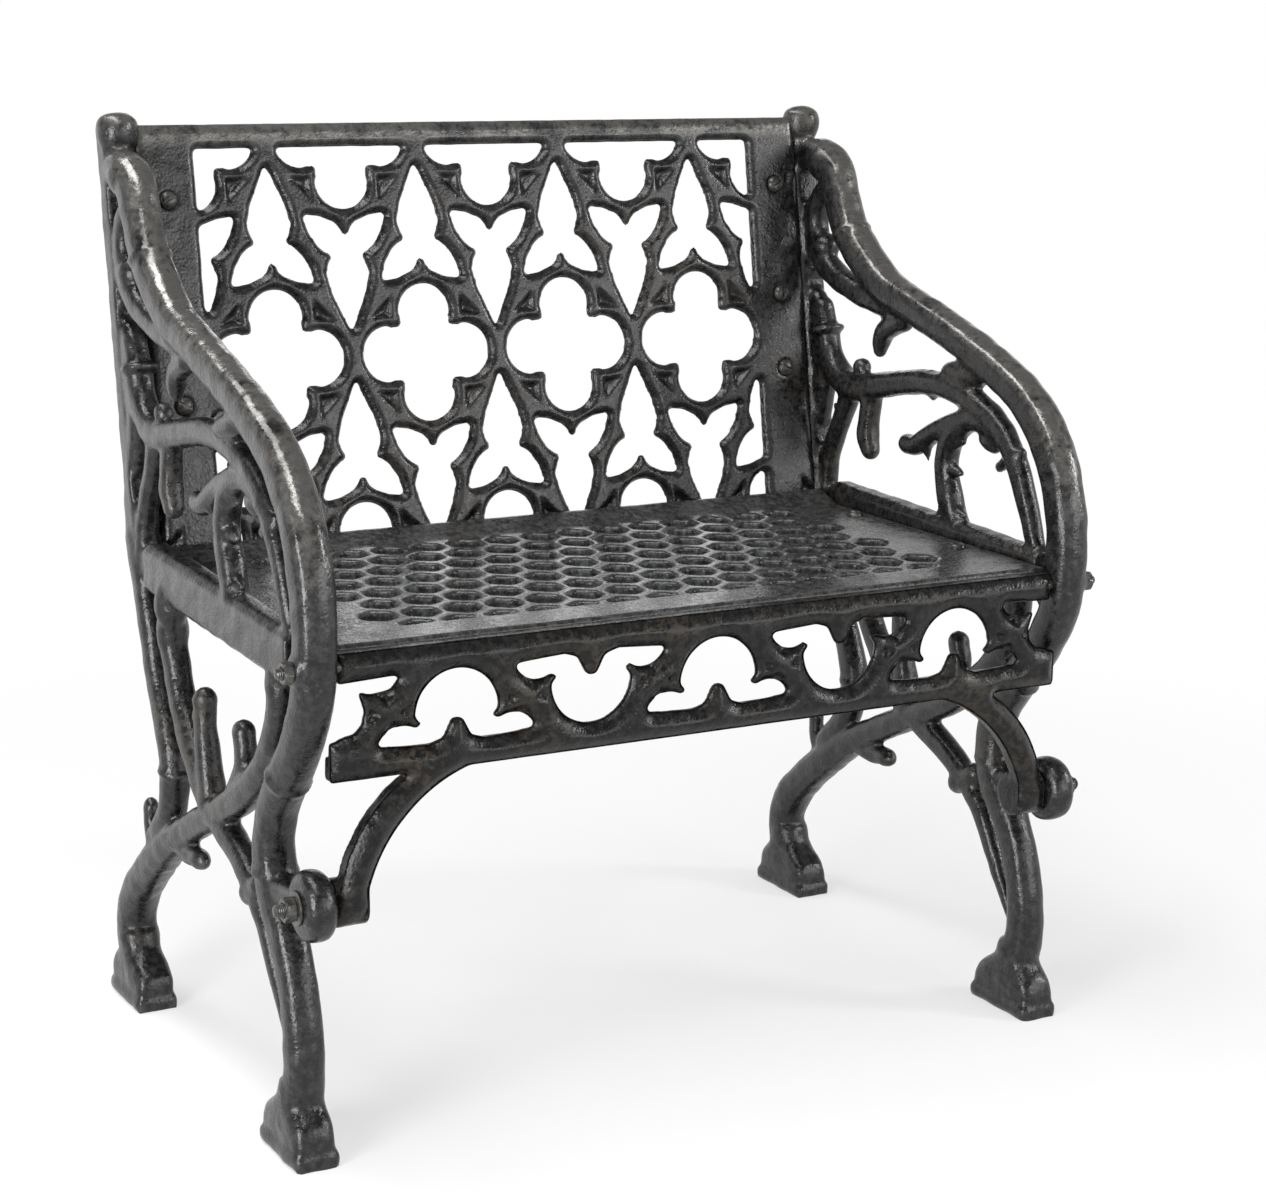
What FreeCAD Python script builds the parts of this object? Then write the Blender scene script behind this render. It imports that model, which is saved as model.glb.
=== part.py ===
import FreeCAD, Part
import math
import os

import Sketcher

# A Gothic cast iron garden bench. X runs along the seat, the bench faces -Y and Z is up from the ground.
# Two branch-pattern end castings carry a pierced back, a pierced seat and a pierced front apron.
# Everything is bolted and nothing moves. Sizes are in millimetres.

Vector = FreeCAD.Vector
X_AXIS = Vector(1, 0, 0)

doc = FreeCAD.newDocument("GardenBench")
sheet = doc.addObject("Spreadsheet::Sheet", "Sizes")

SIZES = [
    # the whole bench
    ("overall_height", 860, "ground to the top of the finials"),
    ("seat_height", 452, "ground to the seat's top face"),
    ("frame_depth", 500, "toe of the front foot to heel of the rear foot"),
    ("end_spacing", 756, "between the middles of the two end castings"),
    ("fit_gap", 0.3, "clearance round studs and at butted ends"),
    # end casting: thickness of each branch
    ("arm_size", 37, "arm, square to its run"),
    ("front_leg_size", 36, "front leg"),
    ("rear_leg_size", 38, "rear leg"),
    ("brace_size", 29, "brace that crosses to the rear leg"),
    ("diagonal_size", 26, "diagonal that crosses to the front leg"),
    ("lower_post_size", 28, "post below the seat"),
    ("scroll_size", 24, "main scroll inside the arm"),
    ("inner_scroll_size", 21, "second scroll"),
    ("stem_size", 25, "stem from the second scroll to the side rail"),
    ("strut_size", 20, "strut from the main scroll to the side rail"),
    ("loop_size", 22, "loop behind the arm"),
    ("twig_size", 22.5, "twigs above the crossing"),
    ("stub_size", 17, "cut-off side shoots"),
    ("knuckle_height", 8, "length of the ring knuckles"),
    ("knuckle_rise", 3, "how far a ring knuckle stands out"),
    # end casting: post, rail, feet and roundel
    ("post_width", 32, "rear post along X"),
    ("post_depth", 24, "rear post front to back"),
    ("post_setback", 4, "post's front face behind the back panel's"),
    ("flange_reach", 46, "post flange behind the panel's stile"),
    ("flange_thickness", 9, "post flange"),
    ("finial_size", 36, "finial at its widest"),
    ("finial_height", 36, "finial above its neck"),
    ("rail_width", 28, "side rail along X"),
    ("rail_height", 46, "side rail"),
    ("rail_lip", 7, "side rail above the seat"),
    ("rail_chamfer", 8, "side rail's long chamfers"),
    ("ledge_reach", 36, "seat ledge inside the side rail"),
    ("ledge_thickness", 9, "seat ledge"),
    ("foot_length", 91, "foot plate front to back"),
    ("foot_width", 43, "foot plate along X"),
    ("foot_plate", 12, "foot plate thickness"),
    ("foot_step", 2.8, "step in above the foot plate"),
    ("foot_collar", 1.5, "foot's top outside the leg"),
    ("foot_height", 58, "ground to the top of the foot"),
    ("roundel_size", 62, "roundel on the front leg"),
    ("roundel_thickness", 28, "roundel along X"),
    ("roundel_height", 234, "ground to the roundel's middle"),
    # back panel
    ("panel_thickness", 10, "back panel"),
    ("panel_top_drop", 11, "finial top down to the panel's top edge"),
    ("panel_sink", 46, "panel's bottom edge below the seat's top"),
    ("stile_width", 59, "plain side stile"),
    ("rail_cover", 15, "panel edge to the middle of a tracery row"),
    ("rail_overlap", 7.5, "panel rail past the middle of a tracery row"),
    ("lobe_half", 27.5, "half width of a quatrefoil's lobe"),
    ("lobe_reach", 67.5, "quatrefoil's middle to the end of a lobe"),
    ("cusp_horn", 4, "flare of the cusps between lobes"),
    # seat
    ("seat_thickness", 12, "seat plate"),
    ("seat_rise", 5, "upturned rear edge of the seat"),
    ("seat_rise_depth", 36, "upturned strip front to back"),
    ("seat_front", 232, "bench's middle to the seat's front edge"),
    ("hole_width", 30, "honeycomb hole along X"),
    ("hole_length", 38, "honeycomb hole, point to point"),
    ("hole_pitch", 40, "honeycomb holes along a row"),
    ("row_pitch", 41.5, "between honeycomb rows"),
    ("last_row", 103, "bench's middle to the rear row"),
    ("front_border", 49, "seat's front edge to the cut front row"),
    # front apron
    ("apron_thickness", 20, "apron front to back"),
    ("apron_height", 108, "apron, top rail to bottom rail"),
    ("apron_top_drop", 3, "seat's top down to the apron's top"),
    ("apron_top_rail", 23, "apron's top rail"),
    ("apron_bottom_rail", 23, "apron's bottom rail"),
    ("apron_hollow", 8, "hollow behind the apron's arches"),
    ("rail_horn", 8, "bottom rail past the apron's end"),
    ("apron_end", 44, "apron end to the first tracery node"),
    ("arch_radius", 38.5, "round arch of an apron bay"),
    ("bracket_width", 25, "curved bracket under the apron"),
    ("boss_size", 42, "boss at the bracket's end"),
    ("boss_length", 31, "boss along X"),
    ("boss_margin", 3, "bracket's edge inside the boss's end"),
    # fasteners
    ("stud_size", 12, "brace stud"),
    ("stud_grip", 22, "brace stud inside the boss"),
    ("stud_end", 8, "brace stud past its nut"),
    ("nut_flats", 19, "brace nut across flats"),
    ("nut_height", 10, "brace nut"),
    ("washer_size", 30, "brace washer"),
    ("washer_thickness", 2.5, "brace washer"),
    ("rail_stud_size", 10, "apron rail stud"),
    ("rail_stud_grip", 30, "apron rail stud inside the rail"),
    ("rail_stud_end", 6, "apron rail stud past its nut"),
    ("rail_nut_flats", 17, "apron rail nut across flats"),
    ("rail_nut_height", 8, "apron rail nut"),
    ("rail_boss_size", 26, "flat boss under the apron rail nut"),
    ("rail_boss_rise", 1.5, "flat boss above the arm's side"),
    ("screw_size", 8, "back and seat screws"),
    ("screw_head", 17, "screw head"),
    ("screw_head_height", 5, "screw head"),
    ("screw_end", 3, "screw past its nut"),
    ("square_nut", 14, "square nut across flats"),
    ("square_nut_height", 6, "square nut"),
]
for row, (alias, value, meaning) in enumerate(SIZES, start=1):
    sheet.set(f"A{row}", meaning)
    sheet.set(f"B{row}", str(value))
    sheet.setAlias(f"B{row}", alias)
doc.recompute()


def size(alias):
    return float(sheet.get(alias))


def bind(thing, **expressions):
    """Tie properties to the sheet; spreadsheet names inside an expression are plain aliases."""
    for prop, text in expressions.items():
        for alias, _, _ in sorted(SIZES, key=lambda entry: -len(entry[0])):
            text = text.replace(f"<{alias}>", f"Sizes.{alias}")
        thing.setExpression(prop, text)


# The end casting's branches were drawn on a pattern of this size and stretch with the sheet.
PATTERN_HEIGHT = 860
PATTERN_SEAT = 452
PATTERN_DEPTH = 500
MIRROR_PLANE = Vector(1, 0, 0)
# Bars follow smooth arcs in straight facets that turn by this much; samples along each arc place them.
FACET_TURN = math.radians(25)
ARC_SAMPLES = 12
# Sides of discs and bosses, of the thick bars, of stud holes and of screw holes; thinner bars have six.
DISC_SIDES = 20
BAR_SIDES = 8
STUD_SIDES = 12
SCREW_SIDES = 8

end_x = -size("end_spacing") / 2
seat_top = size("seat_height")
stretch_y = size("frame_depth") / PATTERN_DEPTH
stretch_low = seat_top / PATTERN_SEAT
stretch_high = (size("overall_height") - seat_top) / (PATTERN_HEIGHT - PATTERN_SEAT)


def at(y, z):
    """A pattern point on the left end casting's middle plane."""
    if z <= PATTERN_SEAT:
        height = z * stretch_low
    else:
        height = seat_top + (z - PATTERN_SEAT) * stretch_high
    return Vector(end_x, y * stretch_y, height)


# The back panel leans on a line from just under the seat to the finials.
panel_top = size("overall_height") - size("panel_top_drop")
panel_bottom = seat_top - size("panel_sink")
lean_low = at(154, 405)
lean_high = at(225.5, 849)
rake = math.atan2(lean_high.y - lean_low.y, lean_high.z - lean_low.z)
up_back = Vector(0, math.sin(rake), math.cos(rake))
behind = Vector(0, math.cos(rake), -math.sin(rake))
panel_length = (panel_top - panel_bottom) / math.cos(rake)
panel_front_foot = Vector(0, lean_low.y + (panel_bottom - lean_low.z) * math.tan(rake), panel_bottom)
panel_rear_foot = panel_front_foot + behind * size("panel_thickness")


# End castings: chamfered bars swept along tangent arcs


def run_directions(points):
    """Directions of a smooth run: each takes the circle through its neighbours."""
    inner = []
    for before, here, after in zip(points, points[1:], points[2:]):
        back = here - before
        ahead = after - here
        way = back / back.Length ** 2 + ahead / ahead.Length ** 2
        inner.append(way / way.Length)
    if not inner:
        way = points[1] - points[0]
        return [way / way.Length] * 2
    ends = []
    for chord, way in ((points[1] - points[0], inner[0]), (points[-1] - points[-2], inner[-1])):
        chord = chord / chord.Length
        ends.append(chord * (2 * chord.dot(way)) - way)
    return [ends[0]] + inner + [ends[1]]


def arc_from(start, way, finish):
    """The arc that leaves start in a given direction and reaches finish."""
    chord = finish - start
    ahead = chord / chord.Length
    if ahead.dot(way) > 0.99999:
        return Part.makeLine(start, finish)
    half_way = (way + ahead) / (way + ahead).Length
    middle = start + half_way * (chord.Length / 2 / half_way.dot(ahead))
    return Part.Arc(start, middle, finish).toShape()


def run_of_arcs(points):
    """Tangent arcs, two between each pair of points."""
    ways = run_directions(points)
    edges = []
    for start, way, finish, way_out in zip(points, ways, points[1:], ways[1:]):
        chord = finish - start
        turn = 2 * (1 - way.dot(way_out))
        lean = 2 * chord.dot(way + way_out)
        if turn < 1e-9:
            reach = chord.dot(chord) / lean
        else:
            reach = (math.sqrt(lean ** 2 + 4 * turn * chord.dot(chord)) - lean) / (2 * turn)
        first = start + way * reach
        second = finish - way_out * reach
        joint = (first + second) / 2
        edges.append(arc_from(start, way, joint))
        edges.append(arc_from(joint, (second - first) / (second - first).Length, finish))
    return edges


def stations(points):
    """Places along the run with their directions, one at each end and one for every FACET_TURN of bend."""
    fine = [points[0]]
    for edge in run_of_arcs(points):
        fine += edge.discretize(ARC_SAMPLES)[1:]
    steps = [after - before for before, after in zip(fine, fine[1:])]
    ways = [steps[0]] + [before + after for before, after in zip(steps, steps[1:])] + [steps[-1]]
    turned = [0.0]
    for before, after in zip(ways, ways[1:]):
        turned.append(turned[-1] + before.getAngle(after))
    count = max(1, math.ceil(turned[-1] / FACET_TURN))
    chosen = [0]
    for number in range(1, count):
        goal = turned[-1] * number / count
        chosen.append(min(range(len(fine)), key=lambda place: abs(turned[place] - goal)))
    chosen.append(len(fine) - 1)
    return [(fine[place], ways[place] / ways[place].Length) for place in chosen]


def chamfered(middle, way, width, depth, cut):
    """A rectangle with cut corners, square to a run: width along X, depth in the end casting's plane."""
    across = way.cross(X_AXIS)
    a = width / 2
    b = depth / 2
    corners = [(a, b - cut), (a - cut, b), (cut - a, b), (-a, b - cut)]
    corners += [(-u, -v) for u, v in corners]
    return [middle + X_AXIS * u + across * v for u, v in corners]


def ring(middle, way, width, sides):
    """A regular section square to a run, with a flat towards X on each side."""
    across = way.cross(X_AXIS)
    reach = width / 2 / math.cos(math.pi / sides)
    corners = []
    for number in range(sides):
        angle = (number + 0.5) * 2 * math.pi / sides
        corners.append(middle + X_AXIS * (reach * math.cos(angle)) + across * (reach * math.sin(angle)))
    return corners


def flat_faces(loop):
    """One flat face, or two triangles where four corners don't lie in a plane."""
    normal = (loop[1] - loop[0]).cross(loop[2] - loop[0])
    normal.normalize()
    if len(loop) != 4 or abs(normal.dot(loop[3] - loop[0])) < 1e-7:
        return [Part.Face(Part.makePolygon(loop + loop[:1]))]
    return flat_faces(loop[:3]) + flat_faces([loop[0], loop[2], loop[3]])


def stack(rings):
    """A flat-faced solid through rings that have the same number of corners."""
    faces = flat_faces(rings[0]) + flat_faces(rings[-1])
    for low, high in zip(rings, rings[1:]):
        for corner in range(len(low)):
            faces += flat_faces([low[corner - 1], low[corner], high[corner], high[corner - 1]])
    shell = Part.makeShell(faces)
    shell.sewShape()
    solid = Part.makeSolid(shell)
    if solid.Volume < 0:
        solid.reverse()
    return solid


def branch(width, route, end_share=1.0, tip=False, sides=6):
    """A bar along a route of pattern points, tapered to a share of its width; a tip closes a free end."""
    spots = stations([at(y, z) for y, z in route])
    walked = [0.0]
    for (before, _), (here, _) in zip(spots, spots[1:]):
        walked.append(walked[-1] + before.distanceToPoint(here))
    rings = []
    for (spot, way), along in zip(spots, walked):
        rings.append(ring(spot, way, width * (1 + (end_share - 1) * along / walked[-1]), sides))
    if tip:
        end, way = spots[-1]
        last = width * end_share
        rings.append(ring(end + way * (last * 0.36), way, last * 0.55, sides))
    return stack(rings)


def knuckle(width, y, z, lean):
    """A ring round a branch, square to a direction given in degrees up from the rear."""
    way = Vector(0, math.cos(math.radians(lean)), math.sin(math.radians(lean)))
    middle = at(y, z)
    half = way * (size("knuckle_height") / 2)
    wide = width + 2 * size("knuckle_rise")
    rings = [(-1, width), (0, wide), (1, width)]
    return stack([ring(middle + half * along, way, across, BAR_SIDES) for along, across in rings])


def foot(toe, leg):
    """A shoe-shaped foot: a stepped plate and a body that narrows to a collar round the leg."""
    length = size("foot_length")
    width = size("foot_width")
    plate = size("foot_plate")
    step = size("foot_step")
    top = size("foot_height")
    middle = toe + length / 2
    up = Vector(0, 0, 1)
    corner = 11

    def level(height, long, wide, shift=0.0):
        return chamfered(Vector(end_x, middle + shift, height), up, wide, long, corner)

    collar = leg + 2 * size("foot_collar")
    waist = width - 2 * step
    plate_solid = stack([level(0, length, width), level(plate, length, width)])
    body = stack([
        level(plate, length - 2 * step, waist),
        level(plate + (top - plate) * 0.35, length - 4 * step, waist),
        level(plate + (top - plate) * 0.75, length * 0.3 + collar * 0.7, (waist + collar) / 2, 2),
        level(top, collar, collar, 4),
    ])
    return [plate_solid, body]


def finial():
    """The knob on top of the post, on its neck."""
    top = Vector(end_x, 0, size("overall_height"))
    top.y = lean_high.y + (top.z - lean_high.z) * math.tan(rake) + size("panel_thickness") * 0.45
    up = Vector(0, 0, 1)
    tall = size("finial_height")
    wide = size("finial_size")
    rings = [(1, 0.74), (0.86, 0.7), (0.62, 0.98), (0.34, 1), (0.14, 0.8), (0, 0.36)]
    return stack([ring(top - up * (tall * down), up, wide * share, BAR_SIDES) for down, share in rings])


def post():
    """The straight upper post with its inward flange behind the panel's stile."""
    front = size("post_setback") - size("panel_thickness")
    middle = behind * (front + size("post_depth") / 2)
    low = panel_rear_foot + middle + X_AXIS * end_x
    bar = stack([
        chamfered(low + up_back * along, up_back, size("post_width"), size("post_depth"), 5)
        for along in (20, panel_length + 2)
    ])
    inner = end_x + size("post_width") / 2
    corner = panel_rear_foot + X_AXIS * (inner - 4) + up_back * 30
    flange = Part.makeBox(size("flange_reach") + 4, size("flange_thickness"), panel_length - 42)
    flange.Placement = FreeCAD.Placement(corner, FreeCAD.Rotation(X_AXIS, -math.degrees(rake)))
    return [bar, flange]


def side_rail():
    """The chamfered rail at seat height, with the ledge that carries the seat."""
    top = seat_top + size("rail_lip")
    middle = top - size("rail_height") / 2
    way = Vector(0, -1, 0)
    rear = at(170, 0).y
    front = at(-214, 0).y
    wide = size("rail_width")
    tall = size("rail_height")
    rail = stack([
        chamfered(Vector(end_x, y, middle), way, wide, tall, size("rail_chamfer")) for y in (rear, front)
    ])
    inner = end_x + size("rail_width") / 2
    under = seat_top - size("seat_thickness") - size("ledge_thickness")
    ledge = Part.makeBox(size("ledge_reach") + 4, at(150, 0).y - at(-196, 0).y, size("ledge_thickness"))
    ledge.translate(Vector(inner - 4, at(-196, 0).y, under))
    return [rail, ledge]


def bore(width, start, finish, sides):
    """A many-sided rod or hole whose flats are a width apart."""
    run = finish - start
    way = run / run.Length
    aside = X_AXIS if abs(way.x) < 0.5 else Vector(0, 0, 1)
    across = way.cross(aside)
    reach = width / 2 / math.cos(math.pi / sides)
    corners = []
    for number in range(sides):
        angle = (number + 0.5) * 2 * math.pi / sides
        corners.append(start + aside * (reach * math.cos(angle)) + across * (reach * math.sin(angle)))
    return Part.Face(Part.makePolygon(corners + corners[:1])).extrude(run)


roundel_middle = Vector(end_x, at(-232, 0).y, size("roundel_height") * stretch_low)
apron_back = -size("seat_front") - 1
apron_middle_y = apron_back - size("apron_thickness") / 2
apron_top = seat_top - size("apron_top_drop")
rail_stud_middle = Vector(end_x, apron_middle_y, apron_top - size("apron_top_rail") / 2)

# Screw places: along the stile, measured down the slope from the panel's top, and along the side rail.
BACK_SCREWS = (70, 184, 262)
SEAT_SCREWS = (-120, 60)
stile_middle = end_x + size("post_width") / 2 + 0.5 + size("stile_width") / 2
seat_screw_x = end_x + size("rail_width") / 2 + size("ledge_reach") * 0.6


def back_screw_spot(down):
    """Where a back screw meets the panel's front face."""
    return panel_front_foot + up_back * (panel_length - down) + X_AXIS * stile_middle


def seat_screw_spot(y):
    return Vector(seat_screw_x, at(y, 0).y, seat_top)


def end_casting():
    shoot = size("stub_size")
    solids = [
        branch(size("arm_size"), [
            (216, 815), (170, 801), (140, 741), (40, 677), (-120, 627), (-222, 548), (-241, 430), (-182, 331),
        ], sides=BAR_SIDES),
        branch(size("front_leg_size"), [
            (-182, 331), (-148, 268), (-172, 196), (-206, 112), (-197, 38)], sides=BAR_SIDES),
        branch(size("brace_size"), [(-172, 432), (-160, 362), (-100, 302), (27, 235), (132, 177)], 1.05),
        branch(size("rear_leg_size"), [(100, 194), (190, 134), (229, 84), (222, 34)], 1.12, sides=BAR_SIDES),
        branch(size("diagonal_size"), [
            (98, 432), (92, 372), (40, 290), (-55, 236), (-124, 190), (-190, 94)], 0.6),
        branch(size("lower_post_size"), [(180, 455), (158, 394), (110, 290), (110, 232), (152, 176)], 1.06),
        branch(size("scroll_size"), [
            (184, 578), (100, 586), (0, 606), (-100, 589), (-168, 538), (-206, 452), (-226, 410)], 0.65),
        branch(size("strut_size"), [(122, 584), (152, 532), (166, 452)], 0.9),
        branch(size("inner_scroll_size"), [
            (-154, 550), (-80, 576), (-14, 556), (20, 543), (42, 548)], 0.8, True),
        branch(size("stem_size"), [(-44, 566), (-30, 524), (-58, 450)], 1.15),
        branch(size("loop_size"), [(158, 780), (196, 762), (192, 708), (132, 678), (42, 664)], 0.8),
        branch(size("twig_size"), [(4, 258), (18, 308), (15, 350)], 0.95, True),
        branch(size("twig_size") - 1, [(-66, 280), (-88, 322), (-78, 345)], 0.95, True),
        branch(shoot - 2, [(93, 588), (101, 552), (99, 520)], 1.4, True),
        branch(shoot + 5, [(120, 582), (113, 604)], 0.9, True),
        branch(shoot, [(58, 666), (88, 628)], 0.9, True),
        branch(shoot + 2, [(-112, 624), (-48, 616)], 0.9, True),
        branch(shoot - 3, [(-50, 596), (-6, 587)], 0.9, True),
        branch(shoot - 2.5, [(-168, 548), (-128, 535)], 0.9, True),
        branch(shoot + 1, [(164, 158), (179, 208)], 0.9, True),
        branch(shoot + 3.5, [(98, 194), (32, 197)], 0.9, True),
        branch(shoot + 4, [(-112, 214), (-88, 198)], 0.8, True),
    ]
    solids.append(knuckle(size("arm_size"), 135, 735, 62))
    solids.append(knuckle(size("arm_size"), -182, 331, -52))
    solids += post() + side_rail() + [finial()]
    solids += foot(at(-238, 0).y, size("front_leg_size"))
    solids += foot(at(171, 0).y, size("rear_leg_size"))

    thick = X_AXIS * (size("roundel_thickness") / 2)
    solids.append(bore(size("roundel_size"), roundel_middle - thick, roundel_middle + thick, DISC_SIDES))
    neck = roundel_middle - at(-158, 222)
    neck_way = neck / neck.Length
    neck_size = size("roundel_thickness") - 4
    solids.append(stack([ring(spot, neck_way, neck_size, 6) for spot in (at(-158, 222), roundel_middle)]))
    side = X_AXIS * (size("arm_size") / 2 + size("rail_boss_rise"))
    solids.append(bore(size("rail_boss_size"), rail_stud_middle, rail_stud_middle - side, STUD_SIDES))

    casting = solids[0].fuse(solids[1:])
    gap = size("fit_gap") * 2
    cuts = []
    studs = [("stud_size", roundel_middle, thick), ("rail_stud_size", rail_stud_middle, side)]
    for alias, middle, reach in studs:
        cuts.append(bore(size(alias) + gap, middle - reach * 2, middle + reach * 2, STUD_SIDES))
    for down in BACK_SCREWS:
        spot = back_screw_spot(down)
        cuts.append(bore(size("screw_size") + gap, spot, spot + behind * 60, SCREW_SIDES))
    for y in SEAT_SCREWS:
        spot = seat_screw_spot(y)
        cuts.append(bore(size("screw_size") + gap, spot, spot - Vector(0, 0, 60), SCREW_SIDES))
    return casting.cut(cuts)


def keep(name, shape):
    thing = doc.addObject("Part::Feature", name)
    thing.Shape = shape
    return thing


left_shape = end_casting()
left_shape = left_shape.Solids[0] if len(left_shape.Solids) == 1 else left_shape
nodes = {
    "left_end_frame": keep("LeftEndFrame", left_shape),
    "right_end_frame": keep("RightEndFrame", left_shape.mirror(Vector(0, 0, 0), MIRROR_PLANE)),
}


# Pierced plates: bodies padded from one outline, with pockets repeated along X


def new_body(name):
    return doc.addObject("PartDesign::Body", name)


def new_sketch(body, name, role, offset=0.0):
    sketch = body.newObject("Sketcher::SketchObject", name)
    plane = [feature for feature in body.Origin.OriginFeatures if feature.Role == role][0]
    sketch.AttachmentSupport = [(plane, "")]
    sketch.MapMode = "FlatFace"
    sketch.AttachmentOffset = FreeCAD.Placement(Vector(0, 0, offset), FreeCAD.Rotation())
    return sketch


def flat(u, v):
    return Vector(u, v, 0)


def draw(sketch, path):
    """A closed outline: each step is a point, or a point on an arc followed by the arc's end."""
    here = flat(*path[0])
    for step in path[1:] + path[:1]:
        finish = flat(*step[-2:])
        if len(step) == 4:
            sketch.addGeometry(Part.Arc(here, flat(*step[:2]), finish), False)
        elif here.distanceToPoint(finish) > 1e-6:
            sketch.addGeometry(Part.LineSegment(here, finish), False)
        here = finish


def draw_box(sketch, low, high, width_text, height_text):
    """A rectangle whose width and height follow the sheet."""
    corners = [(low[0], low[1]), (high[0], low[1]), (high[0], high[1]), (low[0], high[1])]
    for start, finish in zip(corners, corners[1:] + corners[:1]):
        sketch.addGeometry(Part.LineSegment(flat(*start), flat(*finish)), False)
    for first in range(4):
        sketch.addConstraint(Sketcher.Constraint("Coincident", first, 2, (first + 1) % 4, 1))
    for edge, kind in enumerate(("Horizontal", "Vertical", "Horizontal", "Vertical")):
        sketch.addConstraint(Sketcher.Constraint(kind, edge))
    sketch.addConstraint(Sketcher.Constraint("DistanceX", -1, 1, 0, 1, low[0]))
    sketch.addConstraint(Sketcher.Constraint("DistanceY", -1, 1, 0, 1, low[1]))
    wide = sketch.addConstraint(Sketcher.Constraint("DistanceX", 0, 1, 0, 2, high[0] - low[0]))
    tall = sketch.addConstraint(Sketcher.Constraint("DistanceY", 1, 1, 1, 2, high[1] - low[1]))
    bind(sketch, **{f"Constraints[{wide}]": width_text, f"Constraints[{tall}]": height_text})


def pad(body, sketch, length_text):
    feature = body.newObject("PartDesign::Pad", f"{sketch.Name}Pad")
    feature.Profile = sketch
    bind(feature, Length=length_text)
    sketch.Visibility = False
    return feature


def cut_through(body, sketch, reach):
    """Pierce the plate from the sketch's plane, both ways."""
    feature = body.newObject("PartDesign::Pocket", f"{sketch.Name}Pocket")
    feature.Profile = sketch
    feature.Midplane = True
    feature.Length = 2 * reach
    sketch.Visibility = False
    return feature


def repeat(body, features, sketch, axis, span, count):
    pattern = body.newObject("PartDesign::LinearPattern", f"{features[0].Name}Row")
    pattern.Originals = features
    pattern.Direction = (sketch, [axis])
    pattern.Length = span
    pattern.Occurrences = count
    body.Tip = pattern
    return pattern


def shifted(path, du, dv, flip=1, side=1):
    """The same outline elsewhere; flip turns it upside down and side mirrors it."""
    out = []
    for step in path:
        moved = []
        for u, v in zip(step[0::2], step[1::2]):
            moved += [du + side * u, dv + flip * v]
        out.append(tuple(moved))
    return out


def many_sided(width, sides):
    """A regular outline whose flats are a width apart."""
    reach = width / 2 / math.cos(math.pi / sides)
    turns = [(number + 0.5) * 2 * math.pi / sides for number in range(sides)]
    return [(reach * math.cos(turn), reach * math.sin(turn)) for turn in turns]


# Back panel: a diaper of quatrefoils and lancet gaps with thorns, four bays wide.
BAYS = 4
PATTERN_PITCH = 155.0
PATTERN_ROW = 209.0
panel_half = size("end_spacing") / 2 - size("post_width") / 2 - 0.5
stile_edge = panel_half - size("stile_width")
pitch = (2 * stile_edge + 14) / BAYS
row_low = size("rail_cover")
row_high = panel_length - size("rail_cover")
row_middle = panel_length / 2
row_step = (row_high - row_low) / 2
wide_share = pitch / PATTERN_PITCH
tall_share = row_step / PATTERN_ROW
lobe_share = min(wide_share, tall_share)

# Half of a lancet gap, apex first: across, and along from the row that its apex points at.
LANCET = [(0, 22), (17.5, 61), (22.5, 80), (17.5, 97), (29.5, 107), (38, 120), (43.5, 138), (25, 135.5),
          (10, 129), (0, 118)]


def scaled(path):
    shares = (wide_share, tall_share)
    return [tuple(value * shares[place % 2] for place, value in enumerate(step)) for step in path]


def mirrored_whole(half):
    """Close a half outline that starts and ends on its middle line."""
    back = []
    previous = None
    for step in reversed(half):
        ends = step[-2:]
        if previous is not None and len(previous) == 4:
            back.append((-previous[0], previous[1], -ends[0], ends[1]))
        elif previous is not None:
            back.append((-ends[0], ends[1]))
        previous = step
    return half + back[:-1] if len(back[-1]) == 2 else half + back


def quatrefoil_quarter(horn):
    """One quarter of a quatrefoil, from the end of the upright lobe to the end of the side lobe."""
    half = size("lobe_half") * lobe_share
    reach = size("lobe_reach") * lobe_share
    bend = half * math.sqrt(0.5)
    return [
        (0, reach),
        (bend, reach - half + bend, half, reach - half),
        (half - horn / 2, half + 8),
        (half, half),
        (half + 8, half - horn / 2),
        (reach - half, half),
        (reach - half + bend, bend, reach, 0),
    ]


def turn_back(path):
    """The same outline walked the other way."""
    out = [path[-1][-2:]]
    for step, before in zip(reversed(path), list(reversed(path))[1:]):
        ends = before[-2:]
        if len(step) == 4:
            out.append((step[0], step[1], ends[0], ends[1]))
        else:
            out.append(ends)
    return out


def quatrefoil():
    quarter = quatrefoil_quarter(size("cusp_horn"))
    right_low = shifted(turn_back(quarter), 0, 0, flip=-1)
    left_low = shifted(quarter, 0, 0, flip=-1, side=-1)
    left_high = shifted(turn_back(quarter), 0, 0, side=-1)
    return quarter + right_low[1:] + left_low[1:] + left_high[1:-1] + [left_high[-1]]


def half_quatrefoil(cut, from_u):
    """The part of a quatrefoil on one side of a panel rail, right of a line at from_u."""
    quarter = quatrefoil_quarter(size("cusp_horn"))
    half = size("lobe_half") * lobe_share
    reach = size("lobe_reach") * lobe_share
    lobe = half * half - cut * cut
    side_end = reach - half + math.sqrt(lobe)
    side_mid = reach - half + half * math.cos(math.radians(50))
    path = quarter[:-1]
    path.append((side_mid, half * math.sin(math.radians(50)), side_end, cut))
    if from_u:
        rise = reach - half + math.sqrt(half * half - from_u * from_u)
        part = [(from_u, rise), (half * 0.8, reach - half + half * 0.6, half, reach - half)]
        return part + path[2:] + [(from_u, cut)]
    left = shifted(turn_back(path), 0, 0, side=-1)
    return path + left


def clipped_lancet(from_u):
    """The right part of a lancet gap beside a stile."""
    half = scaled(LANCET)
    apex = from_u * half[1][1] / half[1][0] + half[0][1] * (1 - from_u / half[1][0])
    return [(from_u, apex)] + half[1:-2] + [(from_u, half[-2][1] * 1.003)]


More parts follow.
